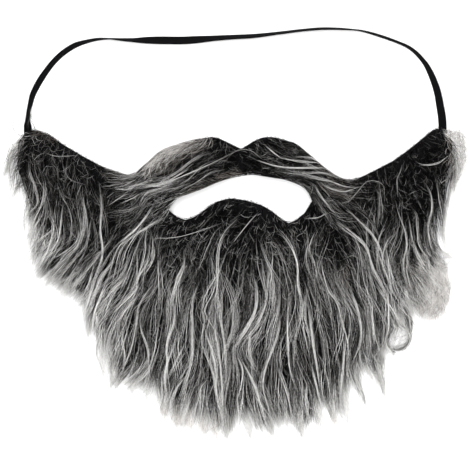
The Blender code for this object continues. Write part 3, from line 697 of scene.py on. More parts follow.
def walked(starts, ways, turns, length, stations):
    """Short plan paths, each step turned from the strand's own way by what turns gives for its share of the steps."""
    path = np.empty((len(starts), stations, 2))
    path[:, 0] = starts
    for i in range(stations - 1):
        path[:, i + 1] = path[:, i] + turned(ways, turns(i / stations)) * (length / (stations - 1))[:, None]
    return path


def share_inside(path, depth):
    """How much of each path, from 0 to 1, comes before it leaves the hair's outline."""
    outside = depth(path)[..., 0] < 0
    first = np.where(outside.any(axis=1), outside.argmax(axis=1), GROW_STEPS)
    return first / GROW_STEPS


def round_gap(plan):
    """The paths bent round the gap between the two loops of hair."""
    off = plan - GAP_MIDDLE
    apart = np.linalg.norm(off, axis=2, keepdims=True)
    near = np.clip(1 - apart / (GAP_REACH * GAP_RADIUS), 0, 1)
    return plan + off / (apart + 1e-9) * near * GAP_RADIUS * GAP_PUSH


def cut_paths(path, share, stations):
    """The first share of each path, as that many stations."""
    at = np.linspace(0, 1, stations)[None] * share[:, None] * GROW_STEPS
    i = np.clip(at.astype(int), 0, GROW_STEPS - 1)
    t = (at - i)[..., None]
    rows = np.arange(len(path))[:, None]
    return path[rows, i] * (1 - t) + path[rows, i + 1] * t


def across(path):
    """The unit vector across each plan path at its stations."""
    ahead = np.gradient(path, axis=1)
    ahead /= np.linalg.norm(ahead, axis=2, keepdims=True) + 1e-12
    return np.stack([-ahead[..., 1], ahead[..., 0]], axis=2)


def waved(path, high, long, phase, length):
    """The path swung from side to side, more towards its tip."""
    t = np.linspace(0, 1, path.shape[1])[None]
    swing = high[:, None] * np.sin(2 * math.pi * t * length[:, None] / long[:, None] + phase[:, None])
    swing *= smooth_step(t, 0.0, 0.35)
    return path + across(path) * swing[..., None]


def roots_on(rng, table, density, inset, skip=None):
    """Random points on a cut cloth, that many to each square mm."""
    xs, lows, tops = (column(table, name) for name in ("x", "low", "top"))
    low, high = np.array([xs[0], lows.min()]), np.array([xs[-1], tops.max()])
    count = int((high - low).prod() * density / MM**2)
    points = rng.uniform(low + inset, high - inset, (count, 2))
    x, y = points.T
    inside = (y > np.interp(x, xs, lows)) & (y < np.interp(x, xs, tops) - inset)
    if skip is not None:
        inside &= ~skip(points)
    return points[inside]


def under_moustache(points):
    x, y = points.T
    low, top = read_table(MOUSTACHE_CLOTH, "low", x), read_table(MOUSTACHE_CLOTH, "top", x)
    return (x > MOUSTACHE_CLOTH[0].x * MM) & (x < MOUSTACHE_CLOTH[-1].x * MM) & (y > low) & (y < top)


def nearest(points, centres):
    """The index of the centre nearest to each point, and how far off it is."""
    found, apart = np.empty(len(points), int), np.empty(len(points))
    for part in np.array_split(np.arange(len(points)), len(points) // 2000 + 1):
        gaps = ((points[part][:, None] - centres[None]) ** 2).sum(axis=2)
        found[part] = gaps.argmin(axis=1)
        apart[part] = np.sqrt(gaps.min(axis=1))
    return found, apart


def past_cloth(points, far):
    """0 on the beard's cloth, rising to 1 at the distance far past its lower edge."""
    x, y = points[..., 0], points[..., 1]
    past = read_table(BEARD_CLOTH, "low", x) - y
    past = np.maximum(past, np.abs(x) - TUFT_FROM)
    return smooth_step(past, -0.1 * far, far)


def beard_rise(points):
    """The height of the cloth's face under the cheek and chin pile."""
    return CLOTH_THICK * (1 - past_cloth(points, 9 * MM)) + tab_lift(points[..., 0])


def flat_beard_rise(points):
    return CLOTH_THICK + tab_lift(points[..., 0])


def moustache_rise(points):
    return CLOTH_THICK + lap_lift(points[..., 0])


def hanging(plan, drop=HANG_DROP):
    """The share of its height that the pile keeps: all of it on the cloth, and less past its edge."""
    return 1 - drop * past_cloth(plan, HANG_REACH)


def at_height(plan, z):
    """The plan paths with these heights, none of them under the lowest."""
    return np.concatenate([plan, np.maximum(z, LOWEST)[..., None]], axis=2)


def lifted(plan, rise, high, layer, stem=2.4):
    """Strands over plan paths: up from the cloth, over the strands below, and down to the surface past the cloth."""
    t = np.linspace(0, 1, plan.shape[1])[None]
    climb = 1 - (1 - t) ** stem
    z = rise(plan) + high * layer[:, None] * climb * hanging(plan)
    return at_height(plan, z)


def tips_paled_and_backlit(tones, plan, coat, share=1.0):
    """Each strand's tone at its stations, paler towards the hair's outline: partly the tips' own paler colour and
    partly painted light, the pale floor showing through the thin tips.
    """
    pale = (1 - smooth_step(coat.depth(plan)[..., 0] / coat.band(plan)[..., 0], 0.1, 1.05)) * share
    base = np.broadcast_to(tones[:, None], pale.shape)
    return np.clip(base + (PALE_TIP - base) * pale, 0.02, 0.99)


def under_outline(plan, table=None):
    """The paths held below the upper cut edges that show from above."""
    x, y = plan[..., 0], plan[..., 1]
    top = read_table(BEARD_CLOTH, "top", x)
    if table is not None:
        on_it = (x > table[0].x * MM) & (x < table[-1].x * MM)
        top = np.where(on_it, np.maximum(top, read_table(table, "top", x)), top)
    top = np.where(x > TUFT_FROM, PILE_TOP, top)
    plan = plan.copy()
    plan[..., 1] = np.minimum(y, top)
    return plan


def in_mouth(points):
    x, y = points[..., 0], points[..., 1]
    wide = (x > -41 * MM) & (x < 48 * MM)
    return wide & (y > read_table(BEARD_CLOTH, "top", x)) & (y < read_table(MOUSTACHE_CLOTH, "low", x))


def fibre_radii(rng, count, stations, thick, spread=0.2):
    """Radii along each strand, full for most of it and fine at the tip."""
    t = np.linspace(0, 1, stations)
    taper = 0.85 + 0.15 * smooth_step(t, 0, 0.2) - 0.72 * smooth_step(t, 0.55, 1.0)
    return thick / 2 * rng.uniform(1 - spread, 1 + spread, count)[:, None] * taper[None]


def finish_piece(obj, slot, *nodes):
    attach(obj, "root")
    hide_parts(*nodes)
    return obj


def hair_piece(name, strands, paint, slot, node):
    """Strands, given as their paths, radii and tones, made into one piece."""
    return finish_piece(tube_mesh(name, *strands, paint), slot, node)


class Coat:
    """The pile of one cloth: its lie, its clumps, and the strands that follow them."""

    def __init__(self, seed, table, lies, clump_density, rise, high, skip, fit):
        self.rng = rng = np.random.default_rng(seed)
        self.table, self.rise, self.high, self.fit = table, rise, high, fit
        self.way = sampled(way_field(lies))
        self.depth = sampled(hair_depth, 1.0 * MM)
        self.band = sampled(soft_table(PALE_BANDS, column(PALE_BANDS, "wide")[:, None]), 4.0 * MM)
        on_cheeks = table is BEARD_CLOTH
        self.dark_edge, self.edge_shade = (22 * MM, 0.16) if on_cheeks else (10 * MM, 0.06)
        shades = CHEEK_SHADES if on_cheeks else MOUSTACHE_SHADES
        self.look = sampled(soft_table(shades, np.array([(row.lift, row.pale) for row in shades])), 4.0 * MM)
        self.swirl = soft_noise(rng, 24, 34 * MM)
        self.shade = soft_noise(rng, 24, 16 * MM)
        self.phase = soft_noise(rng, 16, 60 * MM)
        self.streak = soft_noise(rng, 32, 5 * MM)
        self.centres = roots_on(rng, table, clump_density, 1 * MM, skip)
        count = len(self.centres)
        self.spread = 1 / math.sqrt(clump_density) * MM
        self.clump_turn = rng.normal(0, CLUMP_TURN, count)
        self.clump_short = rng.uniform(0, 1, count) ** 2 * CLUMP_SHORT
        self.clump_tone = rng.normal(0, CLUMP_TONE, count)
        self.clump_phase = self.phase(self.centres) * 2.4 + rng.normal(0, 0.6, count)
        self.clump_high = rng.uniform(*CLUMP_HIGH, count)
        self.clump_wave = rng.uniform(*CLUMP_WAVE, count) * MM

    def ends(self, roots):
        """Where the pile's run from each root leaves the hair's outline, the same for strands that lie in line."""
        path = grow(self.way, roots, np.full(len(roots), 200 * MM), 0)
        last = (share_inside(path, self.depth) * GROW_STEPS).astype(int)
        return path[np.arange(len(path)), last]

    def reach(self, roots):
        """How long a strand may be: over the corners of the mouth the moustache's pile is short."""
        off = np.abs(roots[:, 0] - LAP_MIDDLE)
        short = (38 - 22 * smooth_step(off, 40 * MM, 62 * MM)) * self.rng.uniform(0.6, 1.7, len(roots))
        return 60 * MM if self.table is BEARD_CLOTH else short * MM

    def shown(self, points):
        """0 at the cloth's upper edge, where the hair is short and dark, rising to 1 further in."""
        return smooth_step(edge_depth(points, self.table), 1 * MM, self.dark_edge)

    def plans(self, roots, length, turns, stations, clumping, wave, spare):
        """Plan paths from these roots, with each one's clump and its place in it from 0, the middle, to 1."""
        which, apart = nearest(roots, self.centres)
        turns = turns + self.clump_turn[which] + self.swirl(roots) * SWIRL_TURN
        length = np.minimum(length, self.reach(roots))
        own = grow(self.way, roots, length, turns)
        share = share_inside(own, self.depth)
        short = self.clump_short[which] + self.rng.uniform(-0.25, 1, len(roots)) * spare
        kept = np.clip(share - short / length, 0.12, 1)
        kept = np.where(share < 1, kept, 1)
        guide = grow(self.way, self.centres[which], length, turns)
        own, guide = cut_paths(own, kept, stations), cut_paths(guide, kept, stations)
        t = np.linspace(0, 1, stations)[None, :, None]
        pull = np.asarray(clumping).reshape(-1, 1, 1) * t**1.2
        plan = own * (1 - pull) + guide * pull
        plan = waved(plan, wave * self.clump_high[which], self.clump_wave[which], self.clump_phase[which],
                     length * kept)
        return self.fit(round_gap(plan)), which, np.clip(apart / self.spread, 0, 1)


def crimped(rng, plan, high, long, length):
    """Each strand given its own small waves."""
    count = len(plan)
    t = np.linspace(0, 1, plan.shape[1])[None]
    turns = t * (length / rng.uniform(0.7 * long, 1.4 * long, count))[:, None]
    swing = high * rng.uniform(0.3, 1.5, count)[:, None] * np.sin(2 * math.pi * (turns + rng.random(count)[:, None]))
    return plan + across(plan) * (swing * np.minimum(1, 3 * t))[..., None]


def bundle_strands(rng, tables, stations, rise, high, layer, fit=None, spread=1.0, closing=0.45, varied=0.12):
    """The strands of traced bundles: their paths, those in plan, and the tone of each."""
    plans, tones = [], []
    for bundle in (b for table in tables for b in table):
        points = on_grid(bundle.points)
        along = run_lengths(points)
        count = bundle.strands
        ends = along[-1] * rng.uniform(0.90, 1.08, count)
        starts = along[-1] * rng.uniform(0.0, 0.28, count)
        t = np.linspace(0, 1, stations)[None]
        at = starts[:, None] + (ends - starts)[:, None] * t
        plan = np.stack([smooth_curve(along, points, np.clip(row, 0, along[-1])) for row in at])
        over = np.maximum(at - along[-1], 0)[..., None]
        ahead = (points[-1] - points[-2]) / np.linalg.norm(points[-1] - points[-2])
        plan += over * ahead
        offset = rng.normal(0, 0.36, (count, 2)) * bundle.wide * MM * spread
        drift = rng.normal(0, 0.30, (count, 2)) * bundle.wide * MM
        wander = rng.normal(0, 0.30, (count, 2)) * bundle.wide * MM
        bend = np.sin(2 * math.pi * (t * rng.uniform(0.8, 1.8, (count, 1)) + rng.random((count, 1))))
        plan += offset[:, None] * (1 - closing * t[..., None]) + drift[:, None] * t[..., None] ** 2 * (1 - closing)
        plan += wander[:, None] * bend[..., None]
        plans.append(plan)
        tones.append(np.clip(bundle.tone + rng.normal(0, varied, count), 0.1, 0.99))
    plan, tone = round_gap(np.concatenate(plans)), np.concatenate(tones)
    plan = fit(plan) if fit else plan
    t = np.linspace(0, 1, stations)[None]
    lift = (0.30 + 0.70 * smooth_step(t, 0, 0.22)) * (layer + rng.normal(0, 0.035, (len(plan), 1)))
    z = rise(plan) + high * lift * hanging(plan)
    return at_height(plan, z), plan, tone


def edge_roots(rng, table, name, count, inset):
    """Points near one cut edge of a cloth, and the unit vector straight out of it at each."""
    xs, ys = column(table, "x"), column(table, name)
    runs = np.concatenate([[0], np.cumsum(np.hypot(np.diff(xs), np.diff(ys)))])
    at = rng.uniform(0, runs[-1], count)
    points = np.stack([np.interp(at, runs, xs), np.interp(at, runs, ys)], axis=1)
    slope = np.arctan2(np.interp(at, runs, np.gradient(ys)), np.interp(at, runs, np.gradient(xs)))
    out = slope + (math.pi / 2 if name == "top" else -math.pi / 2)
    ways = np.stack([np.cos(out), np.sin(out)], axis=1)
    return points - ways * rng.uniform(0, inset, count)[:, None], ways


def fuzz(name, rng, parts, rise, high, paint, slot, node):
    """Short fine hairs past the cut edges. Each part is a cloth, its edge, a count, the hairs' length and tone."""
    stations = 4
    plans, tones = [], []
    for table, edge, count, long, dark in parts:
        roots, ways = edge_roots(rng, table, edge, count, 2.2 * MM)
        turn = rng.normal(0.95, 0.35, count) * rng.choice((-1, 1), count)
        curl = rng.normal(0, 0.7, count)
        length = long * rng.uniform(0.4, 1.3, count)
        plans.append(walked(roots, ways, lambda share: turn + curl * share, length, stations))
        tones.append(np.clip(rng.normal(dark, 0.16, count), 0.03, 0.9))
    plan, tone = np.concatenate(plans), np.concatenate(tones)
    t = np.linspace(0, 1, stations)[None]
    paths = at_height(plan, rise(plan) + high * rng.uniform(0.05, 0.6, len(plan))[:, None] * t)
    radii = fibre_radii(rng, len(plan), stations, FUZZ_THICK)
    hair_piece(name, (paths, radii, np.repeat(tone[:, None], stations, axis=1)), paint, slot, node)


def tufts(roots_each, rng, count, wide):
    """Each root repeated count times within the width wide, and the index of the one it came from."""
    pick = np.repeat(np.arange(len(roots_each)), count)
    return roots_each[pick] + rng.normal(0, wide / 2, (len(pick), 2)), pick


def coat_layer(coat, layer, middles, tip_pale_and_backlight=1.0):
    """The strands of one coat from these tufts: their paths, radii and tones."""
    rng = coat.rng
    count = len(middles)
    roots, pick = tufts(middles, rng, layer.hairs, layer.apart * MM)
    strands = len(pick)
    length = rng.uniform(layer.short, layer.long, count)[pick] * rng.uniform(0.92, 1.04, strands) * MM
    turn = rng.normal(0, layer.turn, count)[pick] + rng.normal(0, layer.stray, strands)
    close = rng.uniform(layer.loose, layer.close, count)[pick]
    plan, which, place = coat.plans(roots, length, turn, layer.stations, close, layer.wave * MM, 3 * MM)
    if layer.crimp:
        plan = coat.fit(crimped(rng, plan, layer.crimp * MM, 8 * MM, length))
    lift, pale_share = coat.look(middles).T
    pale = rng.random(count) < pale_share
    own = np.where(pale, rng.normal(layer.pale, 0.09, count), rng.normal(layer.dark, 0.10, count)) + lift
    tones = own[pick] + rng.normal(0, layer.varied, strands) + coat.clump_tone[which]
    # Painted shade: tufts towards a clump's rim, which lie lower, are darkened, and those at its raised middle are
    # lightened
    tones += CLUMP_RIM_SHADE * (0.45 - place) + PATCH_TONE * coat.shade(roots)
    tones += STREAK_TONE * coat.streak(coat.ends(middles))[pick]
    tones -= coat.edge_shade * (1 - coat.shown(roots))
    tones = tips_paled_and_backlit(np.clip(tones, 0.03, 0.97), plan, coat, tip_pale_and_backlight)
    layers = rng.uniform(layer.low, layer.high, count)[pick] + PLACE_LIFT * (0.5 - place)
    paths = lifted(plan, coat.rise, coat.high, np.clip(layers, 0.05, 1.05))
    return paths, fibre_radii(rng, strands, layer.stations, layer.thick * MM), tones


def traced_piece(name, coat, tables, stations, thick, layer, paint, slot, node, tip_pale_and_backlight=0.0, **how):
    """One piece of hair along traced bundles, thick in mm, at the share layer of the pile's height."""
    paths, plan, tone = bundle_strands(coat.rng, tables, stations, coat.rise, coat.high, layer, **how)
    tones = tips_paled_and_backlit(tone, plan, coat, tip_pale_and_backlight)
    hair_piece(name, (paths, fibre_radii(coat.rng, len(plan), stations, thick * MM), tones), paint, slot, node)


def curly_tufts(name, coat, table, layers, paint, slot, node):
    """Soft patches of short curly hair, each scattered along a line."""
    rng, stations = coat.rng, 6
    plans, tones = [], []
    for tuft in table:
        points = on_grid(tuft.points)
        along = run_lengths(points)
        count = tuft.hairs
        at = rng.uniform(0, along[-1], count)
        middle = smooth_curve(along, points, at)
        ahead = smooth_curve(along, points, np.minimum(at + 1 * MM, along[-1])) - smooth_curve(
            along, points, np.maximum(at - 1 * MM, 0))
        ways = ahead / (np.linalg.norm(ahead, axis=1, keepdims=True) + 1e-9)
        side = np.stack([-ways[:, 1], ways[:, 0]], axis=1)
        length = tuft.long * MM * rng.uniform(0.5, 1.3, count)
        turn, curl = rng.normal(0, 0.35, count), rng.normal(0, 1.5, count)
        starts = middle + side * (rng.normal(0, 0.42, count) * tuft.wide * MM)[:, None] - ways * length[:, None] / 2
        plans.append(walked(starts, ways, lambda share: turn + curl * (share - 0.5), length, stations))
        tones.append(np.clip(rng.normal(tuft.tone, 0.10, count), 0.1, 0.99))
    plan, tone = np.concatenate(plans), np.concatenate(tones)
    keep = (coat.depth(plan)[..., 0] > -1 * MM).all(axis=1)
    plan, tone = coat.fit(round_gap(plan[keep])), tone[keep]
    t = np.linspace(0, 1, stations)[None]
    height = coat.high * (rng.uniform(*layers, len(plan))[:, None] * (0.4 + 0.6 * t))
    paths = at_height(plan, coat.rise(plan) + height * hanging(plan, TUFT_DROP))
    radii = fibre_radii(rng, len(plan), stations, TUFT_THICK)
    hair_piece(name, (paths, radii, np.repeat(tone[:, None], stations, axis=1)), paint, slot, node)


def edge_depth(points, table):
    """How far below a cloth's upper edge each point is."""
    return read_table(table, "top", points[:, 0]) - points[:, 1]


def frizz(name, coat, density, paint, slot, node):
    """Fine short hairs that curl every way over the coat, most near the upper edges."""
    rng, stations = coat.rng, 5
    roots = roots_on(rng, coat.table, density, 0.5 * MM)
    roots = roots[(edge_depth(roots, coat.table) < 34 * MM) | (rng.random(len(roots)) < 0.35)]
    count = len(roots)
    long = rng.uniform(3, 6, count) + 4 * rng.random(count) * smooth_step(edge_depth(roots, coat.table), 0, 12 * MM)
    path = grow(coat.way, roots, long * MM, rng.normal(0, 0.6, count), rng.normal(0, 0.9, count))
    top = read_table(coat.table, "top", path[..., 0]) - 0.2 * MM
    stays = (path[..., 1] < top).all(axis=1) & ~in_mouth(path).any(axis=1)
    if coat.table is BEARD_CLOTH:
        stays &= ~under_moustache(path[:, -1])
    path = path[stays]
    count = len(path)
    plan = cut_paths(path, np.clip(share_inside(path, coat.depth), 0.2, 1), stations)
    lift = coat.look(path[:, 0])[:, 0]
    tones = tips_paled_and_backlit(np.clip(rng.normal(0.64, 0.15, count) + 0.7 * lift, 0.12, 0.93), plan, coat)
    paths = lifted(plan, coat.rise, coat.high, rng.uniform(0.45, 1.0, count), 5.0)
    hair_piece(name, (paths, fibre_radii(rng, count, stations, FRIZZ_THICK), tones), paint, slot, node)


def beard_coat(paint, tan_paint, loose_paint):
    own = ("grey_fur", "beard_fur")
    lies = with_bundles(CHEEK_LIES, CHEEK_BUNDLES, CHIN_BUNDLES)
    coat = Coat(7, BEARD_CLOTH, lies, CHEEK_CLUMPS, beard_rise, PILE_HIGH, under_moustache, under_outline)
    rng = coat.rng

    def roots(layer, inset=0.8):
        return roots_on(rng, BEARD_CLOTH, layer.density, inset * MM, under_moustache)

    hair_piece("beard_undercoat", coat_layer(coat, UNDERCOAT, roots(UNDERCOAT)), paint, *own)

    strands = coat_layer(coat, MAIN_COAT, roots(MAIN_COAT))
    order = np.argsort(strands[0][:, 0, 0], kind="stable")
    for name, part in zip(("beard_hair_right", "beard_hair_left"), np.array_split(order, 2)):
        hair_piece(name, [values[part] for values in strands], paint, *own)

    middles = roots(TOP_COAT, 3)
    middles = middles[edge_depth(middles, BEARD_CLOTH) > 11 * MM]
    hair_piece("beard_bundles", coat_layer(coat, TOP_COAT, middles, 0.6), paint, *own)

    middles = roots(EDGE_COAT)
    low = read_table(BEARD_CLOTH, "low", middles[:, 0])
    middles = middles[middles[:, 1] - low < 17 * MM]
    hair_piece("beard_fringe", coat_layer(coat, EDGE_COAT, middles), paint, *own)

    traced_piece("beard_white_bundles", coat, (CHEEK_BUNDLES, CHIN_BUNDLES), 15, 0.19, 1.03, loose_paint, *own,
                 tip_pale_and_backlight=0.5, spread=1.35, varied=0.17)
    traced_piece("beard_locks", coat, (LOCKS,), 8, 0.23, 0.75, paint, *own, tip_pale_and_backlight=1.0, closing=0.92)
    traced_piece("beard_dark_locks", coat, (DARK_LOCKS,), 8, 0.23, 0.75, paint, *own, tip_pale_and_backlight=0.25, closing=0.92)
    traced_piece("beard_pale_locks", coat, (PALE_LOCKS,), 8, 0.2, 0.8, tan_paint, *own, closing=0.3, varied=0.05)
    traced_piece("beard_curls", coat, (CURLS,), 10, 0.22, 0.6, paint, *own, tip_pale_and_backlight=0.1, closing=0.2)
    traced_piece("beard_crossing_hairs", coat, (LOOSE_HAIRS,), 15, 0.15, 1.1, loose_paint, *own,
                 spread=1.3, varied=0.17)
    curly_tufts("beard_pale_tufts", coat, PALE_TUFTS, (0.25, 0.95), tan_paint, *own)
    frizz("beard_frizz", coat, CHEEK_FRIZZ, loose_paint, *own)
    parts = ((BEARD_CLOTH, "top", 1450, 1.3 * MM, 0.2),)
    fuzz("beard_edge_fuzz", rng, parts, flat_beard_rise, 6 * MM, paint, *own)


def out_of_mouth(plan):
    """Moustache strands bend along the upper edge of the mouth opening, and don't hang into it."""
    x = plan[..., 0]
    edge = read_table(MOUSTACHE_CLOTH, "low", x) - 0.3 * MM
    beside = smooth_step(x, -44 * MM, -36 * MM) * (1 - smooth_step(x, 44 * MM, 49 * MM))
    plan = plan.copy()
    plan[..., 1] = np.where(plan[..., 1] < edge, plan[..., 1] + (edge - plan[..., 1]) * beside, plan[..., 1])
    return under_outline(plan, MOUSTACHE_CLOTH)


def moustache_coat(paint, rim_paint, loose_paint):
    own = ("dark_fur", "moustache_fur")
    lies = with_bundles(MOUSTACHE_LIES, MOUSTACHE_BUNDLES)
    coat = Coat(19, MOUSTACHE_CLOTH, lies, LIP_CLUMPS, moustache_rise, LIP_PILE_HIGH, None, out_of_mouth)
    middles = roots_on(coat.rng, MOUSTACHE_CLOTH, LIP_COAT.density, 0.5 * MM)
    hair_piece("moustache_hair", coat_layer(coat, LIP_COAT, middles, 0), paint, *own)
    traced_piece("moustache_bundles", coat, (MOUSTACHE_BUNDLES,), 13, 0.17, 1.05, loose_paint, *own,
                 fit=coat.fit, spread=1.4, varied=0.17)
    curly_tufts("moustache_tan_tufts", coat, TAN_TUFTS, (0.9, 1.3), rim_paint, *own)
    frizz("moustache_frizz", coat, LIP_FRIZZ, loose_paint, *own)
    parts = ((MOUSTACHE_CLOTH, "top", 650, 1.1 * MM, 0.2), (MOUSTACHE_CLOTH, "low", 450, 1.1 * MM, 0.35))
    fuzz("moustache_edge_fuzz", coat.rng, parts, moustache_rise, 4 * MM, paint, *own)


# The cloth's grid, how far its underside is lifted off what it lies on, and how much thinner than the solid it is
CLOTH_COLUMNS, CLOTH_ROWS = 110, 15
CLOTH_LIFT, CLOTH_THINNER = 0.02 * MM, 0.1 * MM


def cloth_size(table):
    """The width and length that the flat cloth was cut from, as its bounding sizes."""
    return float(np.ptp(column(table, "x"))), float(column(table, "top").max() - column(table, "low").min())


def cloth_area(table):
    return float(np.trapz(column(table, "top") - column(table, "low"), column(table, "x")))


def cloth_sheet(name, table, rise, inset, paint, slot, node):
    """The knitted ground cloth, cut to its outline, as a closed sheet."""
    xs = np.linspace(column(table, "x")[0] + inset, column(table, "x")[-1] - inset, CLOTH_COLUMNS)
    shares = np.linspace(0, 1, CLOTH_ROWS)
    low, top = read_table(table, "low", xs) + inset, read_table(table, "top", xs) - inset
    y = low[:, None] + (top - low)[:, None] * shares[None]
    x = np.broadcast_to(xs[:, None], y.shape)
    under = rise(np.stack([x, y], axis=2)) - CLOTH_THICK + CLOTH_LIFT
    over = under + CLOTH_THICK - CLOTH_THINNER
    rows, cols = y.shape
    verts = np.concatenate([np.stack([x, y, z], axis=2).reshape(-1, 3) for z in (under, over)])
    number = np.arange(rows * cols).reshape(rows, cols)
    above = number + rows * cols
    faces = []
    for i in range(rows - 1):
        for j in range(cols - 1):
            faces.append((number[i, j], number[i, j + 1], number[i + 1, j + 1], number[i + 1, j]))
            faces.append((above[i, j], above[i + 1, j], above[i + 1, j + 1], above[i, j + 1]))
    rim = list(number[:, 0]) + list(number[-1, 1:]) + list(number[-1::-1, -1][1:]) + list(number[0, -2:0:-1])
    for a, b in zip(rim, rim[1:] + rim[:1]):
        faces.append((a, b, b + rows * cols, a + rows * cols))
    mesh = bpy.data.meshes.new(name)
    mesh.from_pydata(verts.tolist(), [], [tuple(int(v) for v in face) for face in faces])
    mesh.update()
    return finish_piece(add_object(name, mesh, paint), slot, node)


# How much of a woven surface's pattern is fluff, and the rest threads
FLUFF_SHARE = 0.4


def woven_paint(name, dark, light, rough, place, bands, deep):
    """Cloth of crossing threads: bands are each a direction and a count, and place names where the pattern is read."""
    made, tree, shader = new_paint(name)
    if place == "OFBake":
        where = add_node(tree, "UVMap", uv_map=place).outputs["UV"]
    else:
        where = add_node(tree, "TexCoord").outputs[place]
    threads = None
    for way, scale in bands:
        wave = add_node(tree, "TexWave", {"Vector": where, "Scale": scale, "Distortion": 0.6, "Detail": 1.0},
                        bands_direction=way).outputs["Fac"]
        if threads is not None:
            wave = add_node(tree, "Math", {0: threads, 1: wave}, operation="MULTIPLY").outputs["Value"]
        threads = wave
    fluff = add_node(tree, "TexNoise", {"Vector": where, "Scale": bands[0][1] * 0.9, "Detail": 3.0})
    part = add_node(tree, "Math", {0: fluff.outputs["Fac"], 1: FLUFF_SHARE}, operation="MULTIPLY")
    mixed = add_node(tree, "Math", {0: threads, 1: 1 - FLUFF_SHARE, 2: part.outputs["Value"]},
                     operation="MULTIPLY_ADD").outputs["Value"]
    worn = add_node(tree, "MapRange", {"Value": mixed, "To Min": rough, "To Max": rough - 0.15})
    bump = add_node(tree, "Bump", {"Height": mixed, "Strength": 0.6, "Distance": deep})
    feed(tree, shader, {"Base Color": add_ramp(tree, [(0.1, dark), (0.8, light)], mixed),
                        "Specular IOR Level": MIRROR_LEVEL, "Roughness": worn.outputs["Result"],
                        "Normal": bump.outputs["Normal"]})
    return made


# The strap's stations, its ribs on each face and how deep they are as a share of its thickness
STRAP_STATIONS, RIBS, RIB_DEEP = 170, 9, 0.10


def strap(paint):
    """The flat woven elastic, with rounded edges and fine lengthwise ribs, along the route that the solids have."""
    route = np.stack([column(STRAP_ROUTE, "x"), column(STRAP_ROUTE, "y")], axis=1)
    rolls = np.radians([row.roll for row in STRAP_ROUTE])
    along = run_lengths(route)
    at = np.linspace(0, along[-1], STRAP_STATIONS)
    path = smooth_curve(along, route, at)
    roll = np.interp(at, along, rolls)
    side = np.gradient(path, axis=0)
    side = np.stack([-side[:, 1], side[:, 0]], axis=1)
    side /= np.linalg.norm(side, axis=1)[:, None]
    rise = (STRAP_WIDE * np.abs(np.sin(roll)) + STRAP_THICK * np.abs(np.cos(roll))) / 2
    profile = []
    for face in (1, -1):
        for i in range(2 * RIBS + 1):
            share = i / (2 * RIBS)
            a = (share - 0.5) * face * -1
            depth = 0.5 * (1 - RIB_DEEP * (i % 2)) * (1 - (2 * abs(a)) ** 6 * 0.75)
            profile.append((a, depth * face))
    wide = np.concatenate([side * np.cos(roll)[:, None], np.sin(roll)[:, None]], axis=1)
    thick = np.concatenate([side * -np.sin(roll)[:, None], np.cos(roll)[:, None]], axis=1)
    middle = np.concatenate([path, rise[:, None]], axis=1)
    verts = np.stack([middle + wide * STRAP_WIDE * a + thick * STRAP_THICK * b for a, b in profile], axis=1)
    count = len(profile)
    faces = []
    for i in range(STRAP_STATIONS - 1):
        for j in range(count):
            k = (j + 1) % count
            faces.append((i * count + j, (i + 1) * count + j, (i + 1) * count + k, i * count + k))
    faces.append(tuple(range(count)))
    faces.append(tuple(reversed(range((STRAP_STATIONS - 1) * count, STRAP_STATIONS * count))))
    mesh = bpy.data.meshes.new("elastic_strap_woven")
    mesh.from_pydata(verts.reshape(-1, 3).tolist(), [], faces)
    u, v = np.divmod(np.arange(STRAP_STATIONS * count), count)
    points = np.stack([u / (STRAP_STATIONS - 1), v / count], axis=1)
    corners = np.array([loop.vertex_index for loop in mesh.loops])
    uv = mesh.uv_layers.new(name="OFBake")
    uv.data.foreach_set("uv", points[corners].reshape(-1).astype(np.float32))
    mesh.update()
    obj = finish_piece(add_object(mesh.name, mesh, paint), "black_elastic", "elastic_strap")


# The seams: at each end of the strap a zigzag across it, and a row of stitches under each end of the moustache.
# The thread's thickness and the height of its middle, each stitch's length and the step to the next, the thread's
# tone, and the zigzag's length, start, half width in mm and count of legs
STITCH_THICK = 0.34 * MM
STITCH_DEEP = 0.11 * MM
STITCH_LONG, STITCH_STEP = 2.0 * MM, 3.2 * MM
THREAD_TONE = 0.34
SEAM_STRAP = 8.0 * MM
ZIGZAG_FROM, ZIGZAG_HALF, ZIGZAG_LEGS = 0.8 * MM, 1.9, 11
SEAM_ROWS = [
    ((-60, 62.5), (-58, 57.5), (-54, 53.5), (-50, 50.0), (-46, 48.0)),
    ((50, 53.0), (54, 52.5), (59, 54.5), (64, 58.5), (66.5, 61.5)),
]


def stitches(paint):
    """The thread that shows on the underside, each stitch a short strand half sunk in what it holds."""
    pairs = []
    for end, step in ((0, 1), (-1, -1)):
        first = np.array(STRAP_ROUTE[end][:2]) * MM
        ahead = np.array(STRAP_ROUTE[end + step][:2]) * MM - first
        ahead /= np.linalg.norm(ahead)
        side = np.array([-ahead[1], ahead[0]]) * ZIGZAG_HALF * MM
        corners = [first + ahead * (ZIGZAG_FROM + SEAM_STRAP * i / ZIGZAG_LEGS) + side * (-1) ** i
                   for i in range(ZIGZAG_LEGS + 1)]
        pairs += list(zip(corners[:-1], corners[1:]))
    for row in SEAM_ROWS:
        points = np.array(row) * MM
        along = run_lengths(points)
        starts = np.arange(0, along[-1] - STITCH_LONG, STITCH_STEP)
        begins, ends = (smooth_curve(along, points, starts + far) for far in (0, STITCH_LONG))
        pairs += list(zip(begins, ends))
    t = np.linspace(0, 1, 5)[None, :, None]
    begins, ends = (np.array([pair[i] for pair in pairs])[:, None] for i in (0, 1))
    plan = begins * (1 - t) + ends * t
    paths = np.concatenate([plan, np.full((*plan.shape[:2], 1), STITCH_DEEP)], axis=2)
    taper = np.array([0.7, 1, 1, 0.8, 0.4])
    radii = np.broadcast_to(STITCH_THICK / 2 * taper, plan.shape[:2])
    tones = np.full(plan.shape[:2], THREAD_TONE)
    hair_piece("seam_stitches", (paths, radii, tones), paint, "black_elastic", "beard_fur")


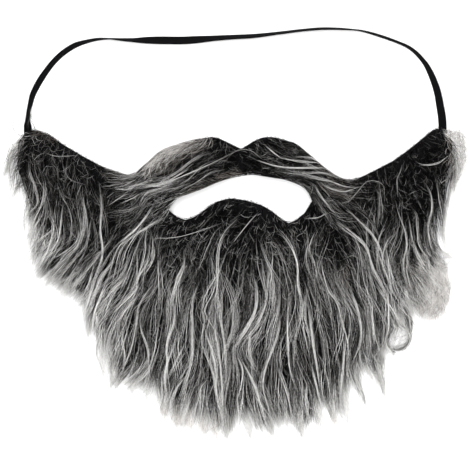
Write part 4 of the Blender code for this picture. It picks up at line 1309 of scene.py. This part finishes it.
def studio():
    """A pale floor, a soft lamp overhead, an even pale surround, and the camera straight above."""
    mesh = bpy.data.meshes.new("floor")
    half = 4.0
    mesh.from_pydata([(-half, -half, 0), (half, -half, 0), (half, half, 0), (-half, half, 0)], [], [(0, 1, 2, 3)])
    paint, tree, shader = new_paint("pale_floor")
    grain = add_node(tree, "TexNoise", {"Vector": add_node(tree, "TexCoord").outputs["Object"], "Scale": 9.0})
    pale = add_ramp(tree, [(0.3, 0.945), (0.7, 0.955)], grain.outputs["Fac"])
    feed(tree, shader, {"Base Color": pale, "Roughness": 0.9})
    floor = add_object("floor", mesh, paint)

    world = bpy.data.worlds.new("studio")
    world.use_nodes = True
    world.node_tree.nodes["Background"].inputs["Color"].default_value = (1, 1, 1, 1)
    world.node_tree.nodes["Background"].inputs["Strength"].default_value = 1.6
    bpy.context.scene.world = world

    lamp = bpy.data.lights.new("overhead", "AREA")
    lamp.shape, lamp.size, lamp.energy = "DISK", 1.6, 14
    place = bpy.data.objects.new("overhead", lamp)
    place.location = (-0.2, 0.5, 1.7)
    place.rotation_euler = (math.radians(-16), math.radians(-7), 0)
    bpy.context.scene.collection.objects.link(place)

    lens = bpy.data.cameras.new("camera")
    lens.sensor_width = SENSOR
    lens.lens = SENSOR * CAMERA_HEIGHT / PHOTO_SIDE
    lens.clip_start = 0.05
    camera = bpy.data.objects.new("camera", lens)
    camera.location = (0, PHOTO_MIDDLE_Y, CAMERA_HEIGHT)
    bpy.context.scene.collection.objects.link(camera)
    bpy.context.scene.camera = camera
    bpy.context.scene.view_settings.view_transform = "Standard"


studio()
elastic = woven_paint("woven_elastic", (0.0006, 0.0006, 0.0008), (0.004, 0.004, 0.0045), 0.85, "OFBake",
                      (("X", 157.0),), 0.1 * MM)
strap(elastic)
knit = woven_paint("knit_backing", (0.0015, 0.0015, 0.0016), (0.012, 0.012, 0.013), 0.95, "Object",
                   (("X", 290.0), ("Y", 380.0)), 0.2 * MM)
beard_cloth = cloth_sheet("beard_backing", BEARD_CLOTH, flat_beard_rise, 0.5 * MM, knit, "grey_fur", "beard_fur")
lip_cloth = cloth_sheet("moustache_backing", MOUSTACHE_CLOTH, moustache_rise, 0.5 * MM, knit, "dark_fur",
                        "moustache_fur")
cloth_size(BEARD_CLOTH)
cloth_area(BEARD_CLOTH)
cloth_size(MOUSTACHE_CLOTH)
cloth_area(MOUSTACHE_CLOTH)
stitches(hair_paint("thread", THREAD_TONES, LOOSE_SHADE, 0.7))
grey_hair = hair_paint("grey_hair", GREY_TONES, ROOT_SHADE)
tan_hair = hair_paint("tan_hair", TAN_TONES, ROOT_SHADE)
loose_hair = hair_paint("loose_hair", GREY_TONES, LOOSE_SHADE)
rim_hair = hair_paint("rim_hair", TAN_TONES, LOOSE_SHADE)
beard_coat(grey_hair, tan_hair, loose_hair)
moustache_coat(grey_hair, rim_hair, loose_hair)
